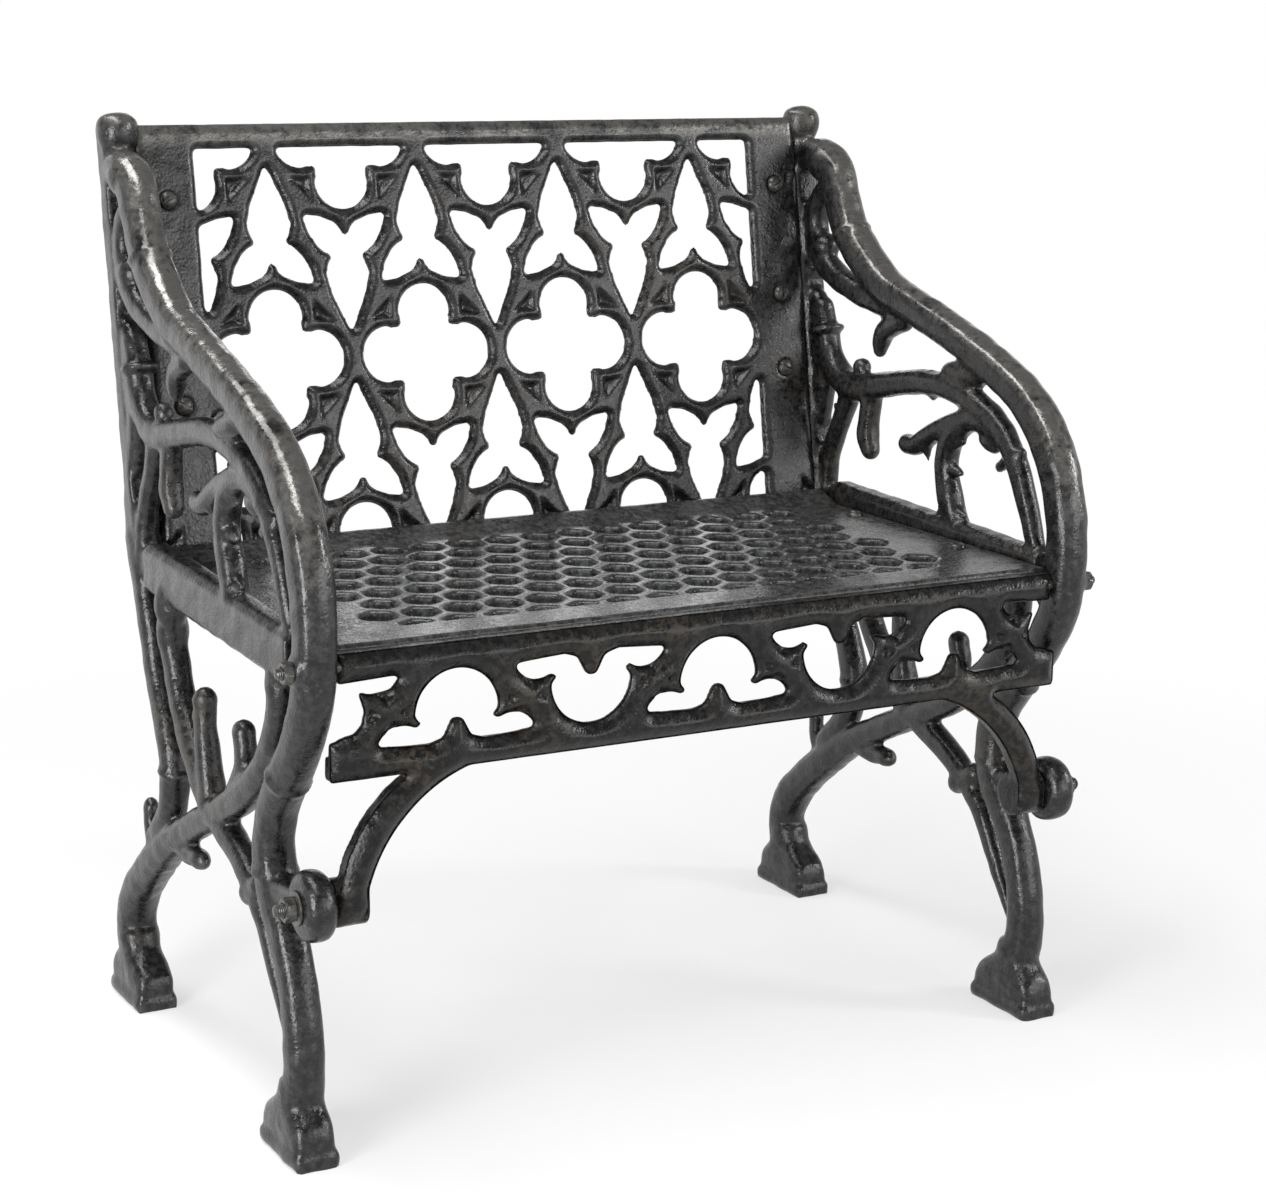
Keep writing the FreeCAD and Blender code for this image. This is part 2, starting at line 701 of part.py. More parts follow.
lancet = mirrored_whole(scaled(LANCET))
edge_u = BAYS * pitch / 2 - stile_edge
first_bay = -pitch * (BAYS - 1) / 2
first_node = -pitch * (BAYS - 2) / 2

panel = new_body("BackPanel")
outline = new_sketch(panel, "PanelOutline", "XZ_Plane")
draw_box(outline, (-panel_half, 0), (panel_half, panel_length),
         "<end_spacing> - <post_width> - 1", f"{panel_length}")
pad(panel, outline, "<panel_thickness>")

bay_holes = new_sketch(panel, "BayHoles", "XZ_Plane")
draw(bay_holes, shifted(quatrefoil(), first_bay, row_middle))
draw(bay_holes, shifted(lancet, first_bay, row_high, flip=-1))
draw(bay_holes, shifted(lancet, first_bay, row_low))
through = size("panel_thickness") + 5
bay_cut = cut_through(panel, bay_holes, through)
repeat(panel, [bay_cut], bay_holes, "H_Axis", pitch * (BAYS - 1), BAYS)

node_holes = new_sketch(panel, "NodeHoles", "XZ_Plane")
draw(node_holes, shifted(half_quatrefoil(size("rail_overlap"), 0), first_node, row_high, flip=-1))
draw(node_holes, shifted(half_quatrefoil(size("rail_overlap"), 0), first_node, row_low))
draw(node_holes, shifted(lancet, first_node, row_middle))
draw(node_holes, shifted(lancet, first_node, row_middle, flip=-1))
node_cut = cut_through(panel, node_holes, through)
repeat(panel, [node_cut], node_holes, "H_Axis", pitch * (BAYS - 2), BAYS - 1)

edge_holes = new_sketch(panel, "EdgeHoles", "XZ_Plane")
for side in (-1, 1):
    edge = side * BAYS * pitch / 2
    draw(edge_holes, shifted(half_quatrefoil(size("rail_overlap"), edge_u), edge, row_high, -1, -side))
    draw(edge_holes, shifted(half_quatrefoil(size("rail_overlap"), edge_u), edge, row_low, 1, -side))
    draw(edge_holes, shifted(clipped_lancet(edge_u), edge, row_middle, 1, -side))
    draw(edge_holes, shifted(clipped_lancet(edge_u), edge, row_middle, -1, -side))
cut_through(panel, edge_holes, through)

screw_holes = new_sketch(panel, "PanelScrewHoles", "XZ_Plane")
screw_hole = many_sided(size("screw_size") + 2 * size("fit_gap"), SCREW_SIDES)
for side in (-1, 1):
    for down in BACK_SCREWS:
        draw(screw_holes, shifted(screw_hole, side * abs(stile_middle), panel_length - down))
panel.Tip = cut_through(panel, screw_holes, through)
panel.Placement = FreeCAD.Placement(panel_rear_foot, FreeCAD.Rotation(X_AXIS, -math.degrees(rake)))
nodes["back_panel"] = panel

# Seat: a plate with staggered rows of pointed six-sided holes; the front row is cut short by the border.
seat_half = size("end_spacing") / 2 - size("rail_width") / 2 - 0.5
seat_back = panel_front_foot.y + (seat_top - size("seat_thickness") - panel_bottom) * math.tan(rake) - 0.8
LONG_ROW = 15
ROWS = 7


def six_sided(front=None):
    """A pointed hole about its middle; in the front row a straight edge replaces its front half."""
    wide = size("hole_width") / 2
    far = size("hole_length") / 2
    shoulder = far * 0.45
    rear = [(wide, shoulder), (0, far), (-wide, shoulder)]
    if front is not None:
        return [(-wide, front), (wide, front)] + rear
    return [(0, -far), (wide, -shoulder)] + rear + [(-wide, -shoulder)]


seat = new_body("SeatGrille")
seat_outline = new_sketch(seat, "SeatOutline", "XY_Plane")
draw_box(seat_outline, (-seat_half, -size("seat_front")), (seat_half, seat_back),
         "<end_spacing> - <rail_width> - 1", f"{seat_back} + <seat_front>")
pad(seat, seat_outline, "<seat_thickness>")
upturn = new_sketch(seat, "SeatUpturn", "YZ_Plane")
rise_foot = size("seat_thickness")
draw(upturn, [
    (seat_back - size("seat_rise_depth"), rise_foot - 0.5),
    (seat_back, rise_foot + size("seat_rise")),
    (seat_back, rise_foot - 3),
])
pad(seat, upturn, "<end_spacing> - <rail_width> - 1").Midplane = True
for name, first_row, count in (("LongRow", 0, LONG_ROW), ("ShortRow", 1, LONG_ROW - 1)):
    holes = new_sketch(seat, f"{name}Holes", "XY_Plane")
    start = -size("hole_pitch") * (count - 1) / 2
    for row in range(first_row, ROWS, 2):
        draw(holes, shifted(six_sided(), start, size("last_row") - row * size("row_pitch")))
    if ROWS % 2 == first_row:
        front_row = size("last_row") - ROWS * size("row_pitch")
        border = size("front_border") - size("seat_front")
        draw(holes, shifted(six_sided(border - front_row), start, front_row))
    cut = cut_through(seat, holes, size("seat_thickness") + 5)
    repeat(seat, [cut], holes, "H_Axis", size("hole_pitch") * (count - 1), count)
seat_screws = new_sketch(seat, "SeatScrewHoles", "XY_Plane")
for side in (-1, 1):
    for y in SEAT_SCREWS:
        draw(seat_screws, shifted(screw_hole, side * abs(seat_screw_x), seat_screw_spot(y).y))
seat.Tip = cut_through(seat, seat_screws, size("seat_thickness") + 5)
seat.Placement = FreeCAD.Placement(Vector(0, 0, seat_top - size("seat_thickness")), FreeCAD.Rotation())
nodes["seat_grille"] = seat

# Apron: two rails joined by round arches that stand and hang in turn, with a curved bracket at each end.
APRON_BAYS = 5
apron_half = size("end_spacing") / 2 - size("arm_size") / 2 - size("fit_gap")
apron_low = -size("apron_height")
hole_top = -size("apron_top_rail")
hole_low = apron_low + size("apron_bottom_rail")
bay = 2 * (apron_half - size("apron_end")) / APRON_BAYS
bay_share = bay / 126.0
hole_tall = hole_top - hole_low
boss_face = end_x + size("roundel_thickness") / 2 + size("fit_gap")


def arch_hole():
    """A standing arch: horned cusps, two side pockets and a spike on the lower rail."""
    radius = size("arch_radius") * bay_share
    crown = hole_tall / 2
    spring = crown - size("arch_radius")
    pocket = -crown
    half = [
        (0, crown),
        (radius * 0.707, spring + size("arch_radius") * 0.707, radius, spring),
        (32.5 * bay_share, -13.5),
        (38 * bay_share, -16.5),
        (54 * bay_share, -13, 72 * bay_share, pocket + 5),
        (71 * bay_share, pocket + 2),
        (26 * bay_share, pocket - 1),
        (13 * bay_share, pocket + 3),
        (5 * bay_share, -12.5),
        (0, -11),
    ]
    left = shifted(turn_back(half), 0, 0, side=-1)
    return half + left[1:-1] + [left[-1]]


def end_hole():
    """The open end outside the first node: a horn below the top rail and a hollow above the bottom rail."""
    crown = hole_tall / 2
    reach = size("apron_end") + size("rail_horn") + 5
    return [
        (13, crown),
        (3, 19),
        (-15, 17),
        (-26, 20),
        (-20.5, 3),
        (-23, -8),
        (-29.5, -15),
        (-reach, -20),
        (-reach, crown - 3),
    ]


def bowed_arc(foot, head, bow):
    """An arc from foot to head, given by its middle and end; bow is its rise as a share of its length."""
    du = head[0] - foot[0]
    dv = head[1] - foot[1]
    return ((foot[0] + head[0]) / 2 - dv * bow, (foot[1] + head[1]) / 2 + du * bow) + head


def bracket():
    """The curved bracket from the bottom rail down to the boss, on the left."""
    boss_z = roundel_middle.z - apron_top
    inner = boss_face + size("boss_length") - size("boss_margin")
    outer = inner - size("bracket_width")
    drop = apron_low + 3
    under = bowed_arc((inner, boss_z), (inner + 106, drop), 0.15)
    return [
        (outer, boss_z),
        bowed_arc((outer, boss_z), (outer + 72, drop), 0.13),
        (inner + 106, drop),
        under[:2] + (inner, boss_z),
    ]


apron = new_body("FrontApron")
apron_outline = new_sketch(apron, "ApronOutline", "XZ_Plane")
draw_box(apron_outline, (-apron_half, apron_low), (apron_half, 0),
         "<end_spacing> - <arm_size> - 2 * <fit_gap>", "<apron_height>")
pad(apron, apron_outline, "<apron_thickness>")
brackets = new_sketch(apron, "Brackets", "XZ_Plane")
draw(brackets, bracket())
draw(brackets, shifted(bracket(), 0, 0, side=-1))
pad(apron, brackets, "<apron_thickness>")
horns = new_sketch(apron, "RailHorns", "XZ_Plane")
horn_low = (-apron_half - size("rail_horn"), apron_low)
horn_high = (apron_half + size("rail_horn"), apron_low + size("apron_bottom_rail") + 11)
draw_box(horns, horn_low, horn_high,
         "<end_spacing> - <arm_size> - 2 * <fit_gap> + 2 * <rail_horn>", "<apron_bottom_rail> + 11")
pad(apron, horns, "<apron_thickness>")
hole_middle = (hole_top + hole_low) / 2
standing = new_sketch(apron, "StandingArches", "XZ_Plane")
draw(standing, shifted(arch_hole(), -2 * bay, hole_middle))
standing_cut = cut_through(apron, standing, size("apron_thickness") + 5)
repeat(apron, [standing_cut], standing, "H_Axis", 4 * bay, 3)
hanging = new_sketch(apron, "HangingArches", "XZ_Plane")
draw(hanging, shifted(arch_hole(), -bay, hole_middle, flip=-1))
hanging_cut = cut_through(apron, hanging, size("apron_thickness") + 5)
repeat(apron, [hanging_cut], hanging, "H_Axis", 2 * bay, 2)
ends = new_sketch(apron, "OpenEnds", "XZ_Plane")
draw(ends, shifted(end_hole(), -2.5 * bay, hole_middle))
draw(ends, shifted(end_hole(), 2.5 * bay, hole_middle, side=-1))
cut_through(apron, ends, size("apron_thickness") + 5)
hollow = new_sketch(apron, "BehindArches", "XZ_Plane")
hollow_low = (-apron_half - size("rail_horn") - 5, hole_low - 2)
draw_box(hollow, hollow_low, (-hollow_low[0], hole_top + 2),
         "<end_spacing> - <arm_size> - 2 * <fit_gap> + 2 * <rail_horn> + 10",
         "<apron_height> - <apron_top_rail> - <apron_bottom_rail> + 4")
apron.Tip = cut_through(apron, hollow, size("apron_hollow"))
apron.Placement = FreeCAD.Placement(Vector(0, apron_back, apron_top), FreeCAD.Rotation())
doc.recompute()

def apron_ends(shape):
    """Add the two round bosses and drill both pairs of stud holes."""
    gap = 2 * size("fit_gap")
    boss_spot = Vector(boss_face, roundel_middle.y, roundel_middle.z)
    boss = bore(size("boss_size"), boss_spot, boss_spot + X_AXIS * size("boss_length"), DISC_SIDES)
    grip_end = boss_spot + X_AXIS * (size("stud_grip") + 1)
    grip = bore(size("stud_size") + gap, boss_spot - X_AXIS, grip_end, STUD_SIDES)
    rail_spot = Vector(-apron_half, rail_stud_middle.y, rail_stud_middle.z)
    rail_end = rail_spot + X_AXIS * (size("rail_stud_grip") + 1)
    rail_grip = bore(size("rail_stud_size") + gap, rail_spot - X_AXIS, rail_end, STUD_SIDES)
    pairs = [[solid, solid.mirror(Vector(0, 0, 0), MIRROR_PLANE)] for solid in (boss, grip, rail_grip)]
    return shape.fuse(pairs[0]).cut(pairs[1] + pairs[2])


nodes["front_apron"] = keep("FrontApronDrilled", apron_ends(apron.Shape))


# Fasteners: studs and nuts lie along X, screws are set square to the plate that they hold


def placed(thing, spot, way):
    thing.Placement = FreeCAD.Placement(spot, FreeCAD.Rotation(Vector(0, 0, 1), way))
    return thing


def rod(name, spot, way, sides, radius_text, length_text):
    """A many-sided rod, its corners on the named radius."""
    thing = doc.addObject("Part::Prism", name)
    thing.Polygon = sides
    bind(thing, Circumradius=radius_text, Height=length_text)
    return placed(thing, spot, way)


def drilled(name, blank, spot, way, sides, hole_text, height_text):
    """A blank with a hole along it; the hole's flats lie on the named radius."""
    corner_text = f"({hole_text}) / cos(180 / {sides})"
    thing = doc.addObject("Part::Cut", name)
    thing.Base = blank
    thing.Tool = rod(f"{name}Bore", spot - way, way, sides, corner_text, f"{height_text} + 2")
    return thing


def nut(name, spot, way, flats, hole_sides, flats_text, height_text, hole_text):
    """A nut with a number of flats and a plain hole."""
    blank = rod(f"{name}Blank", spot, way, flats, f"{flats_text} / 2 / cos(180 / {flats})", height_text)
    return drilled(name, blank, spot, way, hole_sides, hole_text, height_text)


def washer(name, spot, way):
    disc = rod(f"{name}Disc", spot, way, DISC_SIDES, "<washer_size> / 2", "<washer_thickness>")
    return drilled(name, disc, spot, way, STUD_SIDES, "<stud_size> / 2 + <fit_gap>", "<washer_thickness>")


def screw(name, spot, way, grip_text):
    """A screw; spot is under its head and way points along its shank."""
    shank = rod(f"{name}Shank", spot, way, SCREW_SIDES, "<screw_size> / 2", grip_text)
    head = rod(f"{name}Head", spot, way * -1, STUD_SIDES, "<screw_head> / 2", "<screw_head_height>")
    thing = doc.addObject("Part::MultiFuse", name)
    thing.Shapes = [shank, head]
    return thing


def group(name, things):
    thing = doc.addObject("Part::Compound", name)
    thing.Links = things
    return thing


for word, side in (("left", 1), ("right", -1)):
    def here(spot):
        return Vector(spot.x * side, spot.y, spot.z)

    name = word.capitalize()
    out = X_AXIS * -side
    disc_face = roundel_middle - X_AXIS * (size("roundel_thickness") / 2)
    nut_face = disc_face - X_AXIS * size("washer_thickness")
    stud_foot = Vector(boss_face, roundel_middle.y, roundel_middle.z) + X_AXIS * size("stud_grip")
    nodes[f"{word}_brace_washer"] = washer(f"{name}BraceWasher", here(disc_face), out)
    nodes[f"{word}_brace_nut"] = nut(
        f"{name}BraceNut", here(nut_face), out, 6, STUD_SIDES,
        "<nut_flats>", "<nut_height>", "<stud_size> / 2 + <fit_gap>")
    nodes[f"{word}_brace_stud"] = rod(
        f"{name}BraceStud", here(stud_foot), out, STUD_SIDES, "<stud_size> / 2",
        "<stud_grip> + <fit_gap> + <roundel_thickness> + <washer_thickness> + <nut_height> + <stud_end>")

    arm_side = size("arm_size") / 2 + size("rail_boss_rise")
    rail_face = rail_stud_middle - X_AXIS * arm_side
    rail_foot = Vector(-apron_half + size("rail_stud_grip"), rail_stud_middle.y, rail_stud_middle.z)
    nodes[f"{word}_rail_nut"] = nut(
        f"{name}RailNut", here(rail_face), out, 6, STUD_SIDES,
        "<rail_nut_flats>", "<rail_nut_height>", "<rail_stud_size> / 2 + <fit_gap>")
    nodes[f"{word}_rail_stud"] = rod(
        f"{name}RailStud", here(rail_foot), out, STUD_SIDES, "<rail_stud_size> / 2",
        "<rail_stud_grip> + <fit_gap> + <arm_size> + <rail_boss_rise> + <rail_nut_height> + <rail_stud_end>")

    back_set = []
    back_nut_set = []
    for number, down in enumerate(BACK_SCREWS, start=1):
        spot = here(back_screw_spot(down))
        depth = size("panel_thickness") + size("flange_thickness")
        back_set.append(screw(f"{name}BackScrew{number}", spot, behind,
                              "<panel_thickness> + <flange_thickness> + <square_nut_height> + <screw_end>"))
        back_nut_set.append(nut(
            f"{name}BackNut{number}", spot + behind * depth, behind, 4, SCREW_SIDES,
            "<square_nut>", "<square_nut_height>", "<screw_size> / 2 + <fit_gap>"))
    nodes[f"{word}_back_screws"] = group(f"{name}BackScrews", back_set)
    nodes[f"{word}_back_nuts"] = group(f"{name}BackNuts", back_nut_set)

    down_way = Vector(0, 0, -1)
    seat_set = []
    seat_nut_set = []
    for number, y in enumerate(SEAT_SCREWS, start=1):
        spot = here(seat_screw_spot(y))
        depth = size("seat_thickness") + size("ledge_thickness")
        seat_set.append(screw(f"{name}SeatScrew{number}", spot, down_way,
                              "<seat_thickness> + <ledge_thickness> + <square_nut_height> + <screw_end>"))
        seat_nut_set.append(nut(
            f"{name}SeatNut{number}", spot + down_way * depth, down_way, 4, SCREW_SIDES,
            "<square_nut>", "<square_nut_height>", "<screw_size> / 2 + <fit_gap>"))
    nodes[f"{word}_seat_screws"] = group(f"{name}SeatScrews", seat_set)
    nodes[f"{word}_seat_nuts"] = group(f"{name}SeatNuts", seat_nut_set)

doc.recompute()

# Check every object, then write one STEP file per piece.
for thing in doc.Objects:
    if "Invalid" in thing.State or "Error" in thing.State:
        raise RuntimeError(f"{thing.Name} did not build: {thing.State}")
os.makedirs("parts", exist_ok=True)
for node, thing in nodes.items():
    shape = thing.Shape
    if shape.isNull() or not shape.isValid():
        raise RuntimeError(f"{node} has no valid shape")
    shape.exportStep(f"parts/{node}.step")
    print(node, len(shape.Solids), "solid(s)", round(shape.Volume / 1000), "cm3")
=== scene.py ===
# %% [markdown]
# # A cast iron garden bench
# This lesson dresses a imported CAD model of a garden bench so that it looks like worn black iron.
# The CAD model is the fixed frame: it says where every piece is and how large it is.
# Each casting is then replaced by a softer, fuller mesh in the same place, because iron poured in sand
# has no sharp edges, and each bolt and screw gets the details that a plain CAD solid leaves out.

# %% Load the frame
import math

import bmesh
import bpy
import numpy as np
from mathutils import Matrix, Vector, noise
from mathutils.kdtree import KDTree


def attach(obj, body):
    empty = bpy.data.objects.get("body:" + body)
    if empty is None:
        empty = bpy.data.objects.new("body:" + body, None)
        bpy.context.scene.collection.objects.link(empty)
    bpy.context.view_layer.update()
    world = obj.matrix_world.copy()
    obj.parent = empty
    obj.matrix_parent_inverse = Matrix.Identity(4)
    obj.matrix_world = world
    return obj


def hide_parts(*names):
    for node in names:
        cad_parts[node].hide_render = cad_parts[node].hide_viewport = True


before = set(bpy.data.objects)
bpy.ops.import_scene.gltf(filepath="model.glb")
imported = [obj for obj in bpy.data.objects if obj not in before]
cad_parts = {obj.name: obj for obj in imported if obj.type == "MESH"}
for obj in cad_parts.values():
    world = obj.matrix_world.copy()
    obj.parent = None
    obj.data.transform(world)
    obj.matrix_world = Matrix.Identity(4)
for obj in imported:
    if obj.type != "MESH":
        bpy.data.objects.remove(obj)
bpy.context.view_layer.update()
MM = 0.001
print("pieces in the frame:", len(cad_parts))

# %% [markdown]
# ## The camera
# The bench is seen from its right front corner as the sitter would call it, a little above the arms.
# The camera stands about two and a half metres away, which keeps the far end only slightly smaller.
# Its place was found by fitting one lens to the feet, the seat corners and the tops of the posts.
# A very small roll belongs to the picture, so the camera's own sideways axis is tipped by that much.

# %% Place the camera
CAMERA_SPOT = Vector((-1.1658, -2.1938, 0.9700))
CAMERA_LOOKS = Vector((0.4727, 0.8533, -0.2202)).normalized()
CAMERA_ROLL = 0.0123
level_side = CAMERA_LOOKS.cross(Vector((0, 0, 1))).normalized()
level_up = level_side.cross(CAMERA_LOOKS)
camera_side = (level_side * math.cos(CAMERA_ROLL) + level_up * math.sin(CAMERA_ROLL)).normalized()
camera_up = camera_side.cross(CAMERA_LOOKS)
lens = bpy.data.cameras.new("studio_lens")
lens.lens = 76.0
lens.sensor_width = 36.0
lens.clip_start = 0.05
camera = bpy.data.objects.new("studio_camera", lens)
turn = Matrix((camera_side, camera_up, -CAMERA_LOOKS)).transposed().to_4x4()
camera.matrix_world = Matrix.Translation(CAMERA_SPOT) @ turn
bpy.context.scene.collection.objects.link(camera)
bpy.context.scene.camera = camera
bpy.context.scene.view_settings.view_transform = "Standard"
print("camera looks along", tuple(round(v, 3) for v in CAMERA_LOOKS))

# %% [markdown]
# ## The finish of the castings
# Old garden iron is black paint and soot over rough grey metal. Hands have polished the arms,
# rain has left brown in the hollows, and the edges show bare iron.
# A painted picture could hold all that, but it would be tied to one size and one shape.
# Here each finish is a set of nodes that reads noise in the metres of the bench, so it has no seams.
# Three numbers stored on every point of a mesh steer it: `worn` on edges and handled places,
# `hollow` in corners where dirt stays, and `specks` where green corrosion shows.

# %% Small helpers for wiring nodes
def spread(tree, value, low, high):
    """Stretches a grey value so that low becomes 0 and high becomes 1, with soft ends."""
    node = tree.nodes.new("ShaderNodeMapRange")
    node.interpolation_type = "SMOOTHSTEP"
    tree.links.new(value, node.inputs["Value"])
    node.inputs["From Min"].default_value = low
    node.inputs["From Max"].default_value = high
    return node.outputs["Result"]


def combine(tree, kind, first, second):
    """Adds, subtracts or multiplies two values; a sum is kept between 0 and 1."""
    node = tree.nodes.new("ShaderNodeMath")
    node.operation = kind
    node.use_clamp = kind == "ADD"
    for number, value in enumerate((first, second)):
        if isinstance(value, bpy.types.NodeSocket):
            tree.links.new(value, node.inputs[number])
        else:
            node.inputs[number].default_value = value
    return node.outputs[0]


COLOUR_SOCKETS = (6, 7)


def blend_colours(tree, share, first, second):
    """Mixes two colours; a share of 0 keeps the first and 1 the second."""
    node = tree.nodes.new("ShaderNodeMix")
    node.data_type = "RGBA"
    tree.links.new(share, node.inputs[0])
    for number, value in zip(COLOUR_SOCKETS, (first, second)):
        if isinstance(value, bpy.types.NodeSocket):
            tree.links.new(value, node.inputs[number])
        else:
            node.inputs[number].default_value = (*value, 1)
    return node.outputs[2]


def cloud(tree, place, scale, detail, rough=0.55):
    """A grey noise with that many lumps to the metre."""
    node = tree.nodes.new("ShaderNodeTexNoise")
    tree.links.new(place, node.inputs["Vector"])
    node.inputs["Scale"].default_value = scale
    node.inputs["Detail"].default_value = detail
    node.inputs["Roughness"].default_value = rough
    return node.outputs[0]


def stored(tree, name):
    """Reads a number that was stored on the points of a mesh."""
    node = tree.nodes.new("ShaderNodeAttribute")
    node.attribute_name = name
    return node.outputs["Fac"]


print("finish helpers ready")

# %% [markdown]
# A finish is built from five colours: black paint, a greyer dusty black, brown rust, bare iron and green
# corrosion. Each is mixed in by its own cloud of noise times one of the stored numbers.
# Bare iron is metallic, so its share also drives the Metallic socket. Where hands have rubbed, the skin
# is smoother too: there the roughness is lowered and the bump is flattened.
# How strongly the paint mirrors is one plain number for each finish.
# The bump adds sand grain from the mould, shallow dents, and small pits.
# One function gives four finishes: for the ends and the back; for the apron, browner and a darker copy that
# mirrors less, which paints in the seat's shade; for the seat, whose lighter dusty grey is also a painted
# sheen; and for the bolts.

# %% The finish itself
PATCHES, BLOTCHES, FLECKS, SAND, DENTS, PITS = 9, 30, 140, 380, 95, 210
BUMP_DEPTH = 2.4 * MM
IRON_IOR = 1.5


def iron_finish(name, paint, greyer_black, rust, bare, green, rust_share, bare_share, green_share,
                gloss, grain, shine=0.42):
    finish = bpy.data.materials.new(name)
    finish.use_nodes = True
    tree = finish.node_tree
    surface = next(n for n in tree.nodes if n.type == "BSDF_PRINCIPLED")
    place = tree.nodes.new("ShaderNodeTexCoord").outputs["Object"]
    worn = stored(tree, "worn")
    hollow = stored(tree, "hollow")
    specks = stored(tree, "specks")

    patches = cloud(tree, place, PATCHES, 5)
    blotches = cloud(tree, place, BLOTCHES, 5, 0.6)
    flecks = cloud(tree, place, FLECKS, 4, 0.65)
    sand = cloud(tree, place, SAND, 2, 0.5)
    dents = cloud(tree, place, DENTS, 2, 0.5)

    colour = blend_colours(tree, spread(tree, flecks, 0.36, 0.66), paint, greyer_black)
    rusty = combine(tree, "MULTIPLY", spread(tree, patches, 0.50, 0.68),
                    spread(tree, flecks, 0.42, 0.62))
    in_hollows = combine(tree, "MULTIPLY", hollow, spread(tree, blotches, 0.42, 0.6))
    rusty = combine(tree, "ADD", rusty, combine(tree, "MULTIPLY", in_hollows, 0.4))
    on_edges = combine(tree, "MULTIPLY", worn, spread(tree, flecks, 0.46, 0.60))
    rusty = combine(tree, "ADD", rusty, on_edges)
    rusty = combine(tree, "MULTIPLY", rusty, rust_share)
    colour = blend_colours(tree, rusty, colour, rust)
    rubbed = combine(tree, "MULTIPLY", worn, spread(tree, blotches, 0.70, 0.42))
    rubbed = combine(tree, "MULTIPLY", rubbed, spread(tree, flecks, 0.22, 0.55))
    rubbed = combine(tree, "MULTIPLY", rubbed, bare_share)
    colour = blend_colours(tree, rubbed, colour, bare)
    greens = combine(tree, "MULTIPLY", specks, spread(tree, flecks, 0.57, 0.68))
    greens = combine(tree, "MULTIPLY", greens, green_share)
    colour = blend_colours(tree, greens, colour, green)
    tree.links.new(colour, surface.inputs["Base Color"])

    tree.links.new(rubbed, surface.inputs["Metallic"])
    matte = tree.nodes.new("ShaderNodeMapRange")
    tree.links.new(flecks, matte.inputs["Value"])
    matte.inputs["From Min"].default_value = 0.3
    matte.inputs["From Max"].default_value = 0.7
    matte.inputs["To Min"].default_value = gloss - 0.08
    matte.inputs["To Max"].default_value = gloss + 0.12
    dull = combine(tree, "ADD", matte.outputs[0], combine(tree, "MULTIPLY", rusty, 0.2))
    dull = combine(tree, "SUBTRACT", dull, combine(tree, "MULTIPLY", worn, 0.12))
    tree.links.new(dull, surface.inputs["Roughness"])
    surface.inputs["IOR"].default_value = IRON_IOR
    surface.inputs["Specular IOR Level"].default_value = shine

    pits = tree.nodes.new("ShaderNodeTexVoronoi")
    tree.links.new(place, pits.inputs["Vector"])
    pits.inputs["Scale"].default_value = PITS
    pitted = combine(tree, "MULTIPLY", spread(tree, pits.outputs["Distance"], 0.05, 0.30),
                     spread(tree, blotches, 0.45, 0.6))
    height = combine(tree, "MULTIPLY", dents, 0.34)
    height = combine(tree, "ADD", height, combine(tree, "MULTIPLY", sand, 0.3))
    height = combine(tree, "ADD", height, combine(tree, "MULTIPLY", pitted, 0.15))
    bump = tree.nodes.new("ShaderNodeBump")
    rubbed_smooth = combine(tree, "SUBTRACT", 1.0, combine(tree, "MULTIPLY", worn, 0.6))
    tree.links.new(combine(tree, "MULTIPLY", rubbed_smooth, grain), bump.inputs["Strength"])
    bump.inputs["Distance"].default_value = BUMP_DEPTH
    tree.links.new(height, bump.inputs["Height"])
    tree.links.new(bump.outputs[0], surface.inputs["Normal"])
    return finish


worn_black_iron = iron_finish(
    "worn_black_iron", paint=(0.004, 0.004, 0.0045), greyer_black=(0.017, 0.017, 0.018),
    rust=(0.046, 0.033, 0.020), bare=(0.200, 0.194, 0.184), green=(0.07, 0.12, 0.09),
    rust_share=0.45, bare_share=0.85, green_share=0.4, gloss=0.26, grain=0.5)
# The apron's copy has a darker greyer black and mirrors less: painted shade for the shadow under the seat.
# Its larger rust share is real browning.
apron_painted_shade_iron = iron_finish(
    "apron_iron_painted_shade", paint=(0.004, 0.004, 0.004), greyer_black=(0.013, 0.0125, 0.012),
    rust=(0.042, 0.029, 0.018), bare=(0.150, 0.145, 0.136), green=(0.07, 0.12, 0.09),
    rust_share=0.6, bare_share=0.6, green_share=0.3, gloss=0.26, grain=0.5, shine=0.25)
# The seat's paint and greyer black are lighter than the rest: partly real dust, partly a painted sheen for
# the light that grazes its top.
seat_dust_and_painted_sheen_finish = iron_finish(
    "trodden_seat_finish_painted_sheen", paint=(0.012, 0.012, 0.0125), greyer_black=(0.048, 0.048, 0.050),
    rust=(0.040, 0.031, 0.021), bare=(0.16, 0.16, 0.155), green=(0.13, 0.21, 0.17),
    rust_share=0.4, bare_share=0.5, green_share=0.5, gloss=0.26, grain=0.45)
bolt_iron = iron_finish(
    "weathered_bolt_iron", paint=(0.012, 0.0118, 0.0115), greyer_black=(0.030, 0.029, 0.027),
    rust=(0.050, 0.034, 0.021), bare=(0.18, 0.174, 0.160), green=(0.10, 0.18, 0.14),
    rust_share=0.55, bare_share=0.6, green_share=0.5, gloss=0.26, grain=0.35)
print("finishes:", worn_black_iron.name, apron_painted_shade_iron.name, seat_dust_and_painted_sheen_finish.name, bolt_iron.name)

# %% [markdown]
# ## From rough shapes to a casting
# A casting is one lump of metal, even where it looks like ten branches.
# Joining meshes with booleans keeps their hard seams, so each casting here is made another way:
# its rough shapes are thrown together, turned into one skin by a voxel remesh, and then smoothed.
# The remesh melts all the crossings into fillets, much as the pattern maker's wax does.

# %% Helpers that make one skin
def link_mesh(name, mesh):
    piece = bpy.data.objects.new(name, mesh)
    bpy.context.scene.collection.objects.link(piece)
    return piece


